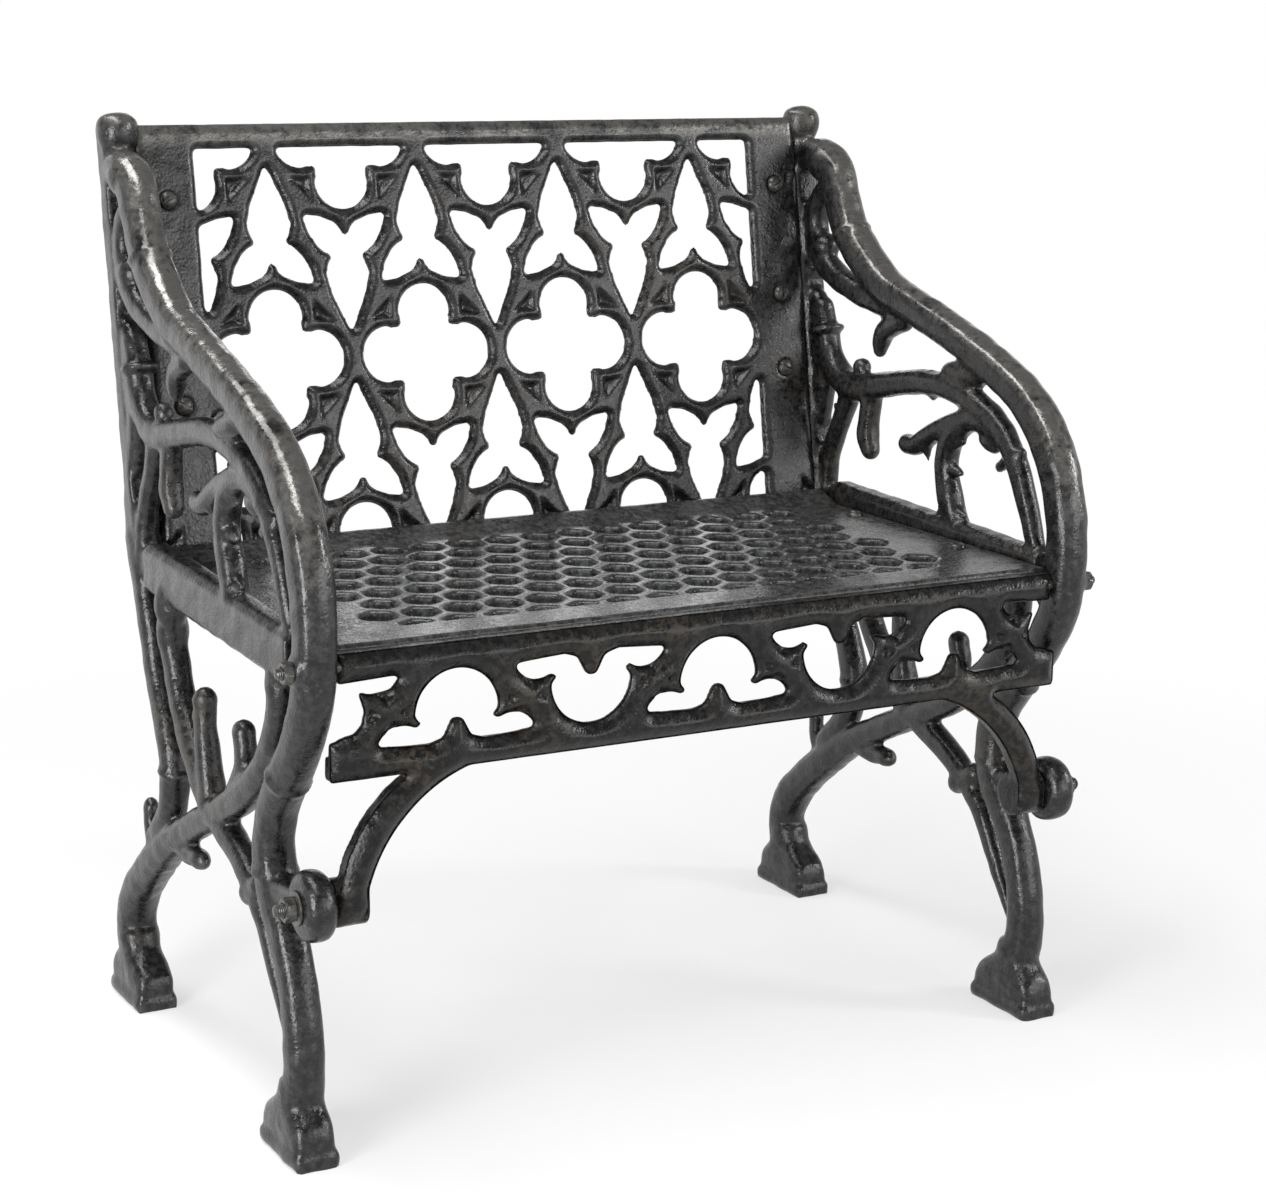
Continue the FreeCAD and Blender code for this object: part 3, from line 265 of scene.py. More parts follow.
def settled(piece):
    """Gives the piece the mesh that its modifiers make, and takes the modifiers away."""
    graph = bpy.context.evaluated_depsgraph_get()
    mesh = bpy.data.meshes.new_from_object(piece.evaluated_get(graph))
    old = piece.data
    piece.modifiers.clear()
    piece.data = mesh
    mesh.name = piece.name
    if old.users == 0:
        bpy.data.meshes.remove(old)
    return piece


def cast_skin(piece, grain_size, softness):
    skin = piece.modifiers.new("one_skin", "REMESH")
    skin.mode = "VOXEL"
    skin.voxel_size = grain_size
    skin.use_smooth_shade = True
    soft = piece.modifiers.new("soft_edges", "SMOOTH")
    soft.factor = 0.5
    soft.iterations = softness
    return settled(piece)


print("skin helpers ready")

# %% [markdown]
# Thousands of points are quicker to move all at once than one by one. These helpers hand the points of a
# mesh to numpy as one table, write the table back, and store a number on each point for the finishes.

# %% Helpers that read and move points
def points_of(mesh):
    spots = np.empty(len(mesh.vertices) * 3, np.float32)
    mesh.vertices.foreach_get("co", spots)
    return spots.reshape(-1, 3)


def normals_of(mesh):
    ways = np.empty(len(mesh.vertices) * 3, np.float32)
    mesh.vertex_normals.foreach_get("vector", ways)
    return ways.reshape(-1, 3)


def move_points(mesh, spots):
    mesh.vertices.foreach_set("co", spots.astype(np.float32).ravel())
    mesh.update()


def store(mesh, name, values):
    layer = mesh.attributes.get(name) or mesh.attributes.new(name, "FLOAT", "POINT")
    layer.data.foreach_set("value", np.clip(values, 0, 1).astype(np.float32))


def step_up(values, low, high):
    """0 below low, 1 above high, and a soft step between."""
    t = np.clip((values - low) / (high - low), 0, 1)
    return t * t * (3 - 2 * t)


print("point helpers ready")

# %% [markdown]
# Wear follows shape: an edge that stands proud is rubbed, and a corner that lies back keeps its dirt.
# Blender has a pointiness input for that, but it lives only in one renderer. Here it is worked out once
# for each mesh: every point is compared with the middle of its neighbours, and the side on which that
# middle lies says whether the skin bulges or dips there.

# %% Measure bulges and hollows
WEAR_PASSES = 6
PLAIN_SPECKS = 0.15


def mark_wear(piece, handled=None, speckled=None, bulge_scale=90.0):
    mesh = piece.data
    spots = points_of(mesh).astype(float)
    ways = normals_of(mesh)
    pairs = np.empty(len(mesh.edges) * 2, np.int32)
    mesh.edges.foreach_get("vertices", pairs)
    pairs = pairs.reshape(-1, 2)
    first, second = pairs[:, 0], pairs[:, 1]
    count = len(spots)
    near = np.maximum(np.bincount(first, minlength=count) + np.bincount(second, minlength=count), 1)

    def middle_of(values):
        out = np.empty_like(values)
        for axis in range(values.shape[1]):
            out[:, axis] = (np.bincount(first, values[second, axis], count)
                            + np.bincount(second, values[first, axis], count)) / near
        return out

    reach = np.linalg.norm(spots[first] - spots[second], axis=1).mean()
    bulge = -((middle_of(spots) - spots) * ways).sum(1, keepdims=True) / reach ** 2
    for _ in range(WEAR_PASSES):
        bulge = middle_of(bulge)
    bulge = bulge[:, 0]
    worn = step_up(bulge, 0.25 * bulge_scale, 1.1 * bulge_scale) * 0.75
    if handled is not None:
        worn = np.maximum(worn, handled(spots, ways))
    store(mesh, "worn", worn)
    store(mesh, "hollow", step_up(-bulge, 0.1 * bulge_scale, 0.7 * bulge_scale))
    store(mesh, "specks", speckled(spots, ways) if speckled is not None else np.full(count, PLAIN_SPECKS))
    print(piece.name, "points", count, "bulge 5..95 %", np.percentile(bulge, [5, 95]).round(1))


def finish_piece(piece, finish, slot, *nodes):
    piece.data.materials.clear()
    piece.data.materials.append(finish)
    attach(piece, "root")
    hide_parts(*nodes)


print("wear is smoothed", WEAR_PASSES, "times")

# %% [markdown]
# ## The end frames: branches
# Each end is a thicket of cast branches: an arm that sweeps down into the front leg, two that cross under
# the seat and run to the feet, and scrolls that fill the arm. A branch could be modelled ring by ring,
# but a curve with a thickness at each point is easier to read and to change: every line below is one
# branch, given by points in millimetres as (back, up, thickness), on the flat middle plane of the end.

# %% Routes of the branches
END_X = -378.0

BRANCHES = {
    "arm": [(222, 808, 30), (206, 810, 36), (187, 806, 40), (171, 797, 40), (157, 772, 38), (140, 740, 38),
            (112, 714, 39), (70, 687, 37), (5, 667, 36), (-60, 648, 36), (-120, 627, 37), (-178, 599, 38),
            (-215, 562, 39), (-237, 515, 39), (-244, 465, 38), (-238, 415, 38), (-214, 370, 37),
            (-182, 331, 38)],
    "front_leg": [(-182, 331, 38), (-156, 296, 37), (-146, 262, 38), (-152, 228, 39), (-176, 190, 36),
                  (-196, 150, 35), (-206, 110, 36), (-206, 75, 37), (-199, 48, 40), (-196, 30, 44)],
    "brace": [(-172, 440, 28), (-172, 400, 29), (-163, 368, 28), (-138, 334, 28), (-92, 296, 30),
              (-35, 264, 29), (27, 235, 29), (87, 205, 30), (142, 170, 36), (194, 130, 38), (222, 100, 40),
              (231, 75, 40), (226, 45, 42), (223, 30, 44)],
    "diagonal": [(98, 440, 28), (100, 400, 28), (88, 356, 27), (67, 320, 27), (38, 287, 28), (5, 260, 28),
                 (-32, 244, 27), (-68, 230, 26), (-100, 212, 24), (-127, 186, 22), (-150, 150, 19),
                 (-172, 112, 15), (-186, 88, 11)],
    "lower_post": [(184, 470, 30), (172, 431, 29), (158, 394, 28), (140, 341, 28), (117, 300, 29),
                   (104, 262, 30), (115, 222, 29), (150, 182, 31)],
    "scroll": [(186, 652, 24), (177, 626, 27), (168, 602, 28), (150, 585, 29), (120, 576, 30), (79, 582, 28),
               (32, 591, 26), (-12, 597, 26), (-54, 596, 26), (-96, 587, 25), (-130, 571, 24),
               (-155, 548, 23), (-174, 518, 22), (-190, 482, 20), (-204, 448, 18), (-218, 412, 15)],
    "strut": [(126, 572, 23), (143, 537, 21), (158, 508, 21), (167, 480, 23), (170, 450, 25)],
    "second_scroll": [(-138, 560, 20), (-108, 570, 22), (-76, 567, 23), (-42, 556, 22), (-12, 541, 21),
                      (6, 531, 21), (22, 531, 20)],
    "stem": [(-78, 566, 22), (-58, 551, 25), (-49, 530, 25), (-48, 510, 25), (-56, 490, 27), (-62, 474, 26),
             (-70, 452, 31)],
    "loop": [(158, 779, 22), (186, 773, 24), (201, 752, 25), (200, 728, 25), (189, 706, 27), (165, 690, 27),
             (130, 678, 26), (85, 668, 24), (45, 662, 22)],
    "back_branch": [(196, 660, 22), (186, 620, 25), (176, 590, 26), (182, 552, 24), (192, 512, 24),
                    (184, 460, 28)],
    "front_twig": [(-64, 284, 26), (-78, 306, 23), (-84, 326, 22), (-80, 343, 21)],
    "rear_twig": [(2, 258, 30), (11, 290, 26), (18, 324, 23), (18, 348, 22)],
    "teardrop": [(84, 584, 20), (88, 566, 22), (93, 542, 23), (92, 526, 24), (88, 514, 21)],
    "hanging_leaf": [(36, 654, 24), (54, 647, 24), (68, 638, 22), (74, 626, 20), (75, 619, 15)],
    "leaf_over_scroll": [(-116, 626, 22), (-90, 616, 24), (-62, 611, 22), (-46, 612, 17)],
    "leaf_under_scroll": [(-16, 604, 15), (-20, 592, 14), (-21, 584, 9)],
    "inner_thorn": [(-166, 548, 16), (-148, 538, 14), (-136, 531, 11)],
    "rear_thorn": [(158, 160, 20), (172, 182, 18), (178, 204, 15)],
    "forward_leaf": [(100, 198, 22), (70, 193, 21), (46, 194, 19), (34, 197, 14)],
    "crossing_leaf": [(-116, 216, 24), (-100, 206, 24), (-88, 199, 18)],
}
print("branches on each end:", len(BRANCHES))

# %% [markdown]
# A Bezier spline with automatic handles runs smoothly through the points, and its radius swells and thins
# between them. The tube it makes is cut off flat at its tips, so a ball rounds each one off.
# A sand mould parts along the middle of the end, and the real branches are flatter on the two sides that
# face away from that plane. So each round tube is pressed a little there before it joins the others.

# %% Grow the branches into one rough mesh
def add_ball(rough, middle, radii, turn=None):
    """A ball with three radii, turned if a turn is given."""
    made = bmesh.ops.create_icosphere(rough, subdivisions=3, radius=1.0)
    shape = Matrix.Diagonal((*radii, 1))
    if turn is not None:
        shape = turn.to_4x4() @ shape
    bmesh.ops.transform(rough, matrix=Matrix.Translation(middle) @ shape, verts=made["verts"])


FLAT_FROM, FLAT_SHARE, FLAT_SWELL = 0.78, 0.3, 1.09
BALL_SWELL, BALL_FLATNESS = 1.03, 0.92


def flatten_sides(tube, rings):
    """Presses a round tube flatter on its two sides, ring by ring."""
    spots = points_of(tube)
    by_ring = spots.reshape(rings, -1, 3)
    half = np.abs(by_ring[:, :, 0]).max(1)[:, None]
    share = np.abs(by_ring[:, :, 0]) / half
    pressed = np.where(share < FLAT_FROM, share, FLAT_FROM + (share - FLAT_FROM) * FLAT_SHARE) * FLAT_SWELL
    by_ring[:, :, 0] = np.copysign(pressed * half, by_ring[:, :, 0])
    move_points(tube, spots)


def grow_branch(rough, name, route):
    curve = bpy.data.curves.new(name, "CURVE")
    curve.dimensions = "3D"
    curve.bevel_depth = MM
    curve.bevel_resolution = 5
    curve.use_fill_caps = True
    spline = curve.splines.new("BEZIER")
    spline.resolution_u = 10
    spline.radius_interpolation = "CARDINAL"
    spline.bezier_points.add(len(route) - 1)
    for point, (y, z, thick) in zip(spline.bezier_points, route):
        point.co = (0, y * MM, z * MM)
        point.handle_left_type = "AUTO"
        point.handle_right_type = "AUTO"
        point.radius = thick / 2
    holder = bpy.data.objects.new(name, curve)
    bpy.context.scene.collection.objects.link(holder)
    graph = bpy.context.evaluated_depsgraph_get()
    tube = bpy.data.meshes.new_from_object(holder.evaluated_get(graph))
    caps = 2
    flatten_sides(tube, (len(route) - 1) * spline.resolution_u + 1 + caps)
    rough.from_mesh(tube)
    bpy.data.objects.remove(holder)
    bpy.data.curves.remove(curve)
    bpy.data.meshes.remove(tube)
    for y, z, thick in (route[0], route[-1]):
        radius = thick / 2 * MM * BALL_SWELL
        add_ball(rough, Vector((0, y * MM, z * MM)), (radius * BALL_FLATNESS, radius, radius))


rough_end = bmesh.new()
for branch_name, branch_route in BRANCHES.items():
    grow_branch(rough_end, branch_name, branch_route)
print("rough branch points:", len(rough_end.verts))

# %% [markdown]
# ## The end frames: knots, buds and thorns
# Where a real branch forks or is cut it leaves knots, and the caster copied them: rings round the arm,
# buds on the scroll's root, and short thorns along the inner curves.
# Stretched balls and small rings are enough, because the remesh will melt them into the branches.

# %% Helpers for knots
def add_ring(rough, y, z, lean, ring_radius, thick):
    """A ring round a branch whose run leans by that many degrees from the level."""
    steps, sides = 24, 8
    way = Vector((0, math.cos(math.radians(lean)), math.sin(math.radians(lean))))
    across = Vector((0, -way.z, way.y))
    middle = Vector((0, y, z))
    loops = []
    for step in range(steps):
        a = 2 * math.pi * step / steps
        out = Vector((1, 0, 0)) * math.cos(a) + across * math.sin(a)
        loop = []
        for side in range(sides):
            b = 2 * math.pi * side / sides
            spot = middle + out * (ring_radius + thick * math.cos(b)) + way * (thick * math.sin(b))
            loop.append(rough.verts.new(spot * MM))
        loops.append(loop)
    for step in range(steps):
        here, there = loops[step], loops[(step + 1) % steps]
        for side in range(sides):
            other = (side + 1) % sides
            rough.faces.new((here[side], here[other], there[other], there[side]))


def add_thorn(rough, y, z, lean, length, base):
    """A short pointed shoot that leaves the branch at that angle."""
    way = Vector((0, math.cos(math.radians(lean)), math.sin(math.radians(lean)))).normalized()
    made = bmesh.ops.create_cone(rough, cap_ends=True, segments=12, radius1=base / 2 * MM,
                                 radius2=base * 0.17 * MM, depth=length * MM)
    turn_to = Vector((0, 0, 1)).rotation_difference(way).to_matrix().to_4x4()
    spot = Matrix.Translation(Vector((0, y, z)) * MM + way * (length / 2 * MM))
    bmesh.ops.transform(rough, matrix=spot @ turn_to, verts=made["verts"])


def add_bud(rough, y, z, long, wide, lean, aside=0.0):
    """A stretched ball along the branch; aside shifts it off the middle plane."""
    turn_to = Matrix.Rotation(math.radians(lean), 3, "X")
    add_ball(rough, Vector((aside, y, z)) * MM, (wide / 2 * MM, long / 2 * MM, wide / 2 * MM), turn_to)


print("knot helpers ready")

# %% [markdown]
# Each row below is one knot. It starts with its place on the end, back and up in millimetres.
# Rings then give the lean of the branch and a radius, and thorns a lean, a length and the width of their
# foot. Buds give a length, a width, and either a lean or how far they sit off the middle plane.

# %% Place the knots, buds and thorns
RING_THICK = 3.6
for y, z, lean, ring_radius in ((135, 735, 62, 18), (-182, 331, -52, 18), (103, 262, 100, 14),
                                (175, 630, 74, 14.5), (-148, 240, -80, 18)):
    add_ring(rough_end, y, z, lean, ring_radius, RING_THICK)
for y, z, long, wide, lean in (
        (108, 597, 21, 20, 60), (183, 803, 46, 43, 10), (158, 780, 28, 24, -20), (20, 529, 24, 19, 15),
        (94, 530, 32, 22, 100), (183, 716, 30, 30, 60), (-60, 615, 44, 20, -4), (42, 194, 34, 20, 0),
        (-92, 203, 30, 24, -35), (176, 206, 22, 16, 75), (18, 350, 26, 23, 95), (-80, 345, 24, 22, 60),
        (52, 664, 34, 24, 12), (-146, 556, 40, 24, 30), (-118, 552, 34, 17, 20)):
    add_bud(rough_end, y, z, long, wide, lean)
for y, z, long, wide, aside in ((91, 424, 52, 32, -4), (98, 398, 60, 31, -1), (-172, 412, 60, 30, 0)):
    add_bud(rough_end, y, z, long, wide, 90, aside)
add_bud(rough_end, -80, 612, 64, 23, -10, -7)
for y, z, long, wide, aside in ((24, 334, 14, 12, -5), (27, 312, 16, 12, 4), (23, 290, 14, 11, -3),
                                (-78, 322, 14, 11, 4)):
    add_bud(rough_end, y, z, long, wide, 70, aside)
for y, z, lean, length, base in (
        (-45, 542, 40, 16, 13), (-44, 512, 10, 14, 13), (-62, 516, 190, 14, 14), (-50, 478, -10, 14, 13),
        (-64, 544, 170, 15, 14), (-72, 474, 180, 14, 13), (-12, 532, -110, 15, 11),
        (-178, 520, -20, 15, 11), (-196, 480, -10, 14, 11), (30, 594, -95, 15, 12),
        (146, 548, 20, 14, 12), (190, 520, 10, 12, 12), (-190, 344, 150, 14, 14), (86, 352, 10, 13, 13),
        (130, 318, 10, 13, 13), (-152, 346, 200, 13, 13), (-126, 190, 60, 14, 12), (200, 690, 0, 14, 14)):
    add_thorn(rough_end, y, z, lean, length, base)
print("rough points with knots:", len(rough_end.verts))

# %% [markdown]
# ## The end frames: post, rail, roundel and feet
# The straight members carry the panels: a square post with a flange behind the back's stile, and a
# chamfered rail with a ledge under the seat. The rail rises by about a centimetre to the rear and has a
# rounded rear end. Boxes with bevels could make all these, but stacked outlines need no bevels and also
# suit the shoe-shaped feet and, turned on its side, the disc through which the brace is bolted.

# %% Straight members
def add_stack(rough, loops):
    """Joins outlines of equal count into a closed skin."""
    rings = [[rough.verts.new(spot) for spot in loop] for loop in loops]
    for low, high in zip(rings, rings[1:]):
        for number in range(len(low)):
            other = (number + 1) % len(low)
            rough.faces.new((low[number], low[other], high[other], high[number]))
    rough.faces.new(list(reversed(rings[0])))
    rough.faces.new(rings[-1])


def rounded_loop(middle, side, front, wide, deep, roundness, count=32):
    """A loop between an oval and a box; roundness 1 is an oval and near 0 a box."""
    loop = []
    power = max(roundness, 0.12)
    for number in range(count):
        a = 2 * math.pi * (number + 0.5) / count
        c, s = math.cos(a), math.sin(a)
        u = math.copysign(abs(c) ** power, c) * wide / 2
        v = math.copysign(abs(s) ** power, s) * deep / 2
        loop.append((middle + side * u + front * v) * MM)
    return loop


SIDE = Vector((1, 0, 0))
REARWARD = Vector((0, 1, 0))
UP = Vector((0, 0, 1))
SLOPE_LOW_Y, SLOPE_LOW_Z, SLOPE_TOP_Y, BACK_TOP_Z, BACK_LOW_Z = 154, 405, 225.5, 849, 406
RAKE = math.atan2(SLOPE_TOP_Y - SLOPE_LOW_Y, BACK_TOP_Z - SLOPE_LOW_Z)
UP_BACK = Vector((0, math.sin(RAKE), math.cos(RAKE)))
BEHIND = Vector((0, math.cos(RAKE), -math.sin(RAKE)))
PANEL_FOOT = Vector((0, SLOPE_LOW_Y + (BACK_LOW_Z - SLOPE_LOW_Z) * math.tan(RAKE), BACK_LOW_Z))
PANEL_LENGTH = (BACK_TOP_Z - BACK_LOW_Z) / math.cos(RAKE)

POST_WIDE, POST_DEEP, POST_CORNERS = 27.6, 21, 0.16
post_low = PANEL_FOOT + BEHIND * (4 + 10.5) + SIDE * 2.2
post_levels = ((4, 0.7), (30, 1), (120, 1), (240, 1), (360, 1), (PANEL_LENGTH + 2, 1))
add_stack(rough_end, [rounded_loop(post_low + UP_BACK * along, SIDE, BEHIND, POST_WIDE * size,
                                   POST_DEEP * size, POST_CORNERS) for along, size in post_levels])
FLANGE_WIDE, FLANGE_DEEP, FLANGE_CORNERS = 50, 9, 0.14
flange_low = PANEL_FOOT + BEHIND * (10 + 4.6) + SIDE * (16 + 21)
add_stack(rough_end, [rounded_loop(flange_low + UP_BACK * along, SIDE, BEHIND, FLANGE_WIDE, FLANGE_DEEP,
                                   FLANGE_CORNERS) for along in (30, 160, 290, PANEL_LENGTH - 12)])
RAIL_FRONT, RAIL_REAR, RAIL_MIDDLE, RAIL_RISE = -214, 170, 438, 11
RAIL_CORNERS = [(-14, 422), (-14, 455), (-7, 462), (7, 462), (14, 455), (14, 422), (6, 413), (-6, 413)]
rail_rings = []
for y, share in ((RAIL_REAR, 0.62), (148, 0.62), (147, 0.8), (143, 0.92), (136, 1), (60, 1), (-80, 1),
                 (RAIL_FRONT, 1)):
    rise = RAIL_RISE * (y - RAIL_FRONT) / (RAIL_REAR - RAIL_FRONT) + 1
    rail_rings.append([Vector((x * share, y, RAIL_MIDDLE + (z - RAIL_MIDDLE) * share + rise)) * MM
                       for x, z in RAIL_CORNERS])
add_stack(rough_end, rail_rings)
ledge_rings = [[Vector((x, y, z)) * MM for x, z in ((10, 431), (10, 440), (50, 440), (50, 431))]
               for y in (150, 0, -196)]
add_stack(rough_end, ledge_rings)
print("post, flange, rail and ledge added")

# %% [markdown]
# The foot is a shoe: a plate with a moulded edge, a body that humps up over it, and a collar round the
# leg. The disc at the front leg has a full, rounded rim. The knob on the post is a short round block with
# a domed top. Both are round, so they are given as lists of heights and radii, as for a lathe, and so is
# the boss on the arm that the rail's nut is tightened against.

# %% Feet, roundel and knob
def add_foot(rough, toe, heel, leg_y, leg_wide, ahead):
    """Each level is a height, a depth, a width, how far it leans to the leg, and a roundness."""
    middle = (toe + heel) / 2
    long = heel - toe
    levels = [(0, long, 43, 0, 0.2), (10, long, 43, 0, 0.2), (12, long - 2, 41.5, 0, 0.22),
              (12.6, long - 6, 37, 0, 0.24), (14, long - 7, 36.5, 0, 0.26), (17, long - 4, 39, 0, 0.3),
              (26, long - 5, 40, 0, 0.36), (34, long - 10, 40, 0.1, 0.46), (41, long - 22, 39.5, 0.3, 0.6),
              (47, long - 36, 39, 0.6, 0.75), (53, leg_wide + 7, 39, 0.95, 0.9),
              (62, leg_wide + 1, leg_wide + 1, 1, 1), (70, leg_wide - 2, leg_wide - 2, 1, 1)]
    loops = []
    for height, deep, wide, lean, roundness in levels:
        y = middle + (leg_y - middle) * lean
        loops.append(rounded_loop(Vector((0, y, height)), SIDE, REARWARD, wide, deep, roundness))
    add_stack(rough, loops)
    instep = Vector((0, middle - ahead * long * 0.20, 30)) * MM
    add_ball(rough, instep, (18 * MM, long * 0.24 * MM, 15 * MM),
             Matrix.Rotation(math.radians(-20 * ahead), 3, "X"))


def add_lathe(rough, middle, axis, profile, sides=40):
    """Turns (distance along the axis, radius) pairs round an axis; both ends close on it."""
    aside = Vector((0, 0, 1)) if abs(axis.z) < 0.5 else Vector((1, 0, 0))
    across = axis.cross(aside).normalized()
    aside = across.cross(axis).normalized()
    loops = []
    for along, radius in profile:
        loops.append([(middle + axis * along + aside * (radius * math.cos(2 * math.pi * n / sides))
                       + across * (radius * math.sin(2 * math.pi * n / sides))) * MM for n in range(sides)])
    add_stack(rough, loops)


add_foot(rough_end, -238, -147, -197, 38, 1)
add_foot(rough_end, 171, 262, 225, 40, -1)
ROUNDEL = Vector((0, -232, 234))
add_lathe(rough_end, ROUNDEL, SIDE, [(-14, 4), (-14, 16), (-13.5, 22), (-11.5, 26.5), (-8, 29.6), (-3, 31),
                                     (3, 31), (8, 29.6), (11.5, 26.5), (13.5, 22), (14, 16), (14, 4)])
grow_branch(rough_end, "roundel_neck", [(-158, 226, 30), (-185, 229, 26), (-212, 233, 25)])
KNOB_TOP = Vector((4.5, 231.8, 860))
add_lathe(rough_end, KNOB_TOP, UP, [(-46, 15), (-38, 16), (-33.5, 15), (-29, 17.6), (-22, 19.2), (-13, 19.4),
                                    (-7, 18), (-3, 14), (-1, 8.5), (0, 3.5)])
RAIL_BOSS = Vector((0, -243, 438.5))
add_lathe(rough_end, RAIL_BOSS, Vector((-1, 0, 0)), [(0, 13), (17, 13), (20, 11.5), (20, 4)])
print("rough end points:", len(rough_end.verts))

# %% [markdown]
# Now the skin. Voxels of 2.7 millimetres keep the thorns, still melt the joints, and leave each end with
# fewer than two hundred thousand triangles.
# A little slow noise along the normals takes away the look of a perfect pipe.
# The arm's upper side is marked as handled, since that is where hands and sleeves have polished it.

# %% Skin the left end
ARM_LINE = np.array([(y, z) for y, z, _ in BRANCHES["arm"]]) * MM


def far_from_arm(spots):
    """The distance of each point from the arm's middle line, seen from the side."""
    best = np.full(len(spots), 1e9)
    flat = spots[:, 1:]
    for start, finish in zip(ARM_LINE, ARM_LINE[1:]):
        run = finish - start
        t = np.clip(((flat - start) @ run) / (run @ run), 0, 1)
        best = np.minimum(best, np.linalg.norm(flat - (start + t[:, None] * run), axis=1))
    return best


def arm_handled(spots, ways):
    near_arm = 1 - step_up(far_from_arm(spots), 19 * MM, 27 * MM)
    upward = step_up(ways[:, 2] * 0.85 - ways[:, 1] * 0.35, 0.15, 0.85)
    high = step_up(spots[:, 2], 0.40, 0.60)
    knob = step_up(spots[:, 2], 0.838, 0.858) * 0.5
    return np.maximum(near_arm * upward * high, knob)


def end_speckled(spots, ways):
    low = 1 - step_up(spots[:, 2], 0.05, 0.5)
    bolts = np.zeros(len(spots))
    for bolt, reach in ((ROUNDEL, 0.035), (RAIL_BOSS, 0.03)):
        apart = (spots[:, 1] - bolt.y * MM) ** 2 + (spots[:, 2] - bolt.z * MM) ** 2
        bolts += np.exp(-apart / reach ** 2)
    return 0.12 + 0.12 * low + 0.7 * bolts


def roughen(mesh, depth, scale):
    """Moves the points in and out along their normals by a slow noise."""
    spots = points_of(mesh)
    ways = normals_of(mesh)
    rise = np.array([noise.noise(Vector(spot) * scale) for spot in spots])
    move_points(mesh, spots + ways * (rise * depth)[:, None])


rough_mesh = bpy.data.meshes.new("left_end_casting")
rough_end.to_mesh(rough_mesh)
rough_end.free()
left_end = link_mesh("left_end_casting", rough_mesh)
END_VOXEL, END_SOFTNESS = 2.7 * MM, 3
cast_skin(left_end, END_VOXEL, END_SOFTNESS)
roughen(left_end.data, 0.9 * MM, 55)
left_end.data.transform(Matrix.Translation((END_X * MM, 0, 0)))
mark_wear(left_end, arm_handled, end_speckled)
left_end.data.shade_smooth()

# %% [markdown]
# The other end was cast from the mirrored pattern, so its mesh is the first one with the sideways axis
# turned over. Turning it over also turns the faces inside out, which flipping the normals mends.

# %% Mirror the right end
right_mesh = left_end.data.copy()
right_mesh.name = "right_end_casting"
right_mesh.transform(Matrix.Diagonal((-1, 1, 1, 1)))
right_mesh.flip_normals()
right_end = link_mesh("right_end_casting", right_mesh)
finish_piece(left_end, worn_black_iron, "casting", "left_end_frame")
finish_piece(right_end, worn_black_iron, "casting", "right_end_frame")
print("end castings:", len(left_end.data.polygons), "faces each")

# %% [markdown]
# ## The back
# The back is a flat casting: Gothic quatrefoils and thorned lancets between two stiles and two rails.
# Its outline is already right in the CAD solid, so the detailed mesh starts as a copy of that solid.
# The copy gets the same skin as the ends, which rounds its edges. Molten iron doesn't fill a sharp point,
# so each thorn of the tracery ends in a small ball that the skin takes in.

# %% Copy a plate of the frame
WELD_GAP = 0.00002
FRONT_FACING = -0.9
SHARP_TIP = math.radians(128)


def pointed_tips(welded, inward):
    """Finds where a plate's front outline turns sharply round its metal, and the way into the metal."""
    found = []
    for vert in welded.verts:
        front = [loop for loop in vert.link_loops if loop.face.normal.dot(inward) < FRONT_FACING]
        rims = [edge for edge in vert.link_edges
                if sum(face.normal.dot(inward) < FRONT_FACING for face in edge.link_faces) == 1]
        if len(rims) == 2 and sum(loop.calc_angle() for loop in front) < SHARP_TIP:
            first, second = ((edge.other_vert(vert).co - vert.co).normalized() for edge in rims)
            found.append((vert.co.copy(), (first + second).normalized()))
    return found


def plate_copy(node, name, grain_size, softness, tip_size=0.0, inward=None):
    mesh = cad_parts[node].data.copy()
    mesh.name = name
    mesh.materials.clear()
    welded = bmesh.new()
    welded.from_mesh(mesh)
    bmesh.ops.remove_doubles(welded, verts=welded.verts, dist=WELD_GAP)
    if tip_size:
        tips = pointed_tips(welded, inward)
        for spot, into in tips:
            add_ball(welded, spot + into * tip_size * 0.75 + inward * tip_size * 0.9, (tip_size,) * 3)
        print(name, "pointed tips:", len(tips))
    welded.to_mesh(mesh)
    welded.free()
    piece = link_mesh(name, mesh)
    cast_skin(piece, grain_size, softness)
    return piece


BACK_VOXEL, BACK_SOFTNESS, BACK_TIP = 2.45 * MM, 2, 4.8 * MM
back = plate_copy("back_panel", "pierced_back", BACK_VOXEL, BACK_SOFTNESS, BACK_TIP, BEHIND)
print("back points:", len(back.data.vertices))

# %% [markdown]
# The bars of the tracery are not flat in front: they are crowned, fullest along their middle.
# A bevel can't make that on a skin of voxels, so the front points are moved instead. The nearer a point
# lies to a hole or an edge, the further it sinks.

# %% Crown the front of a plate
CROWN_DEEP = 7 * MM


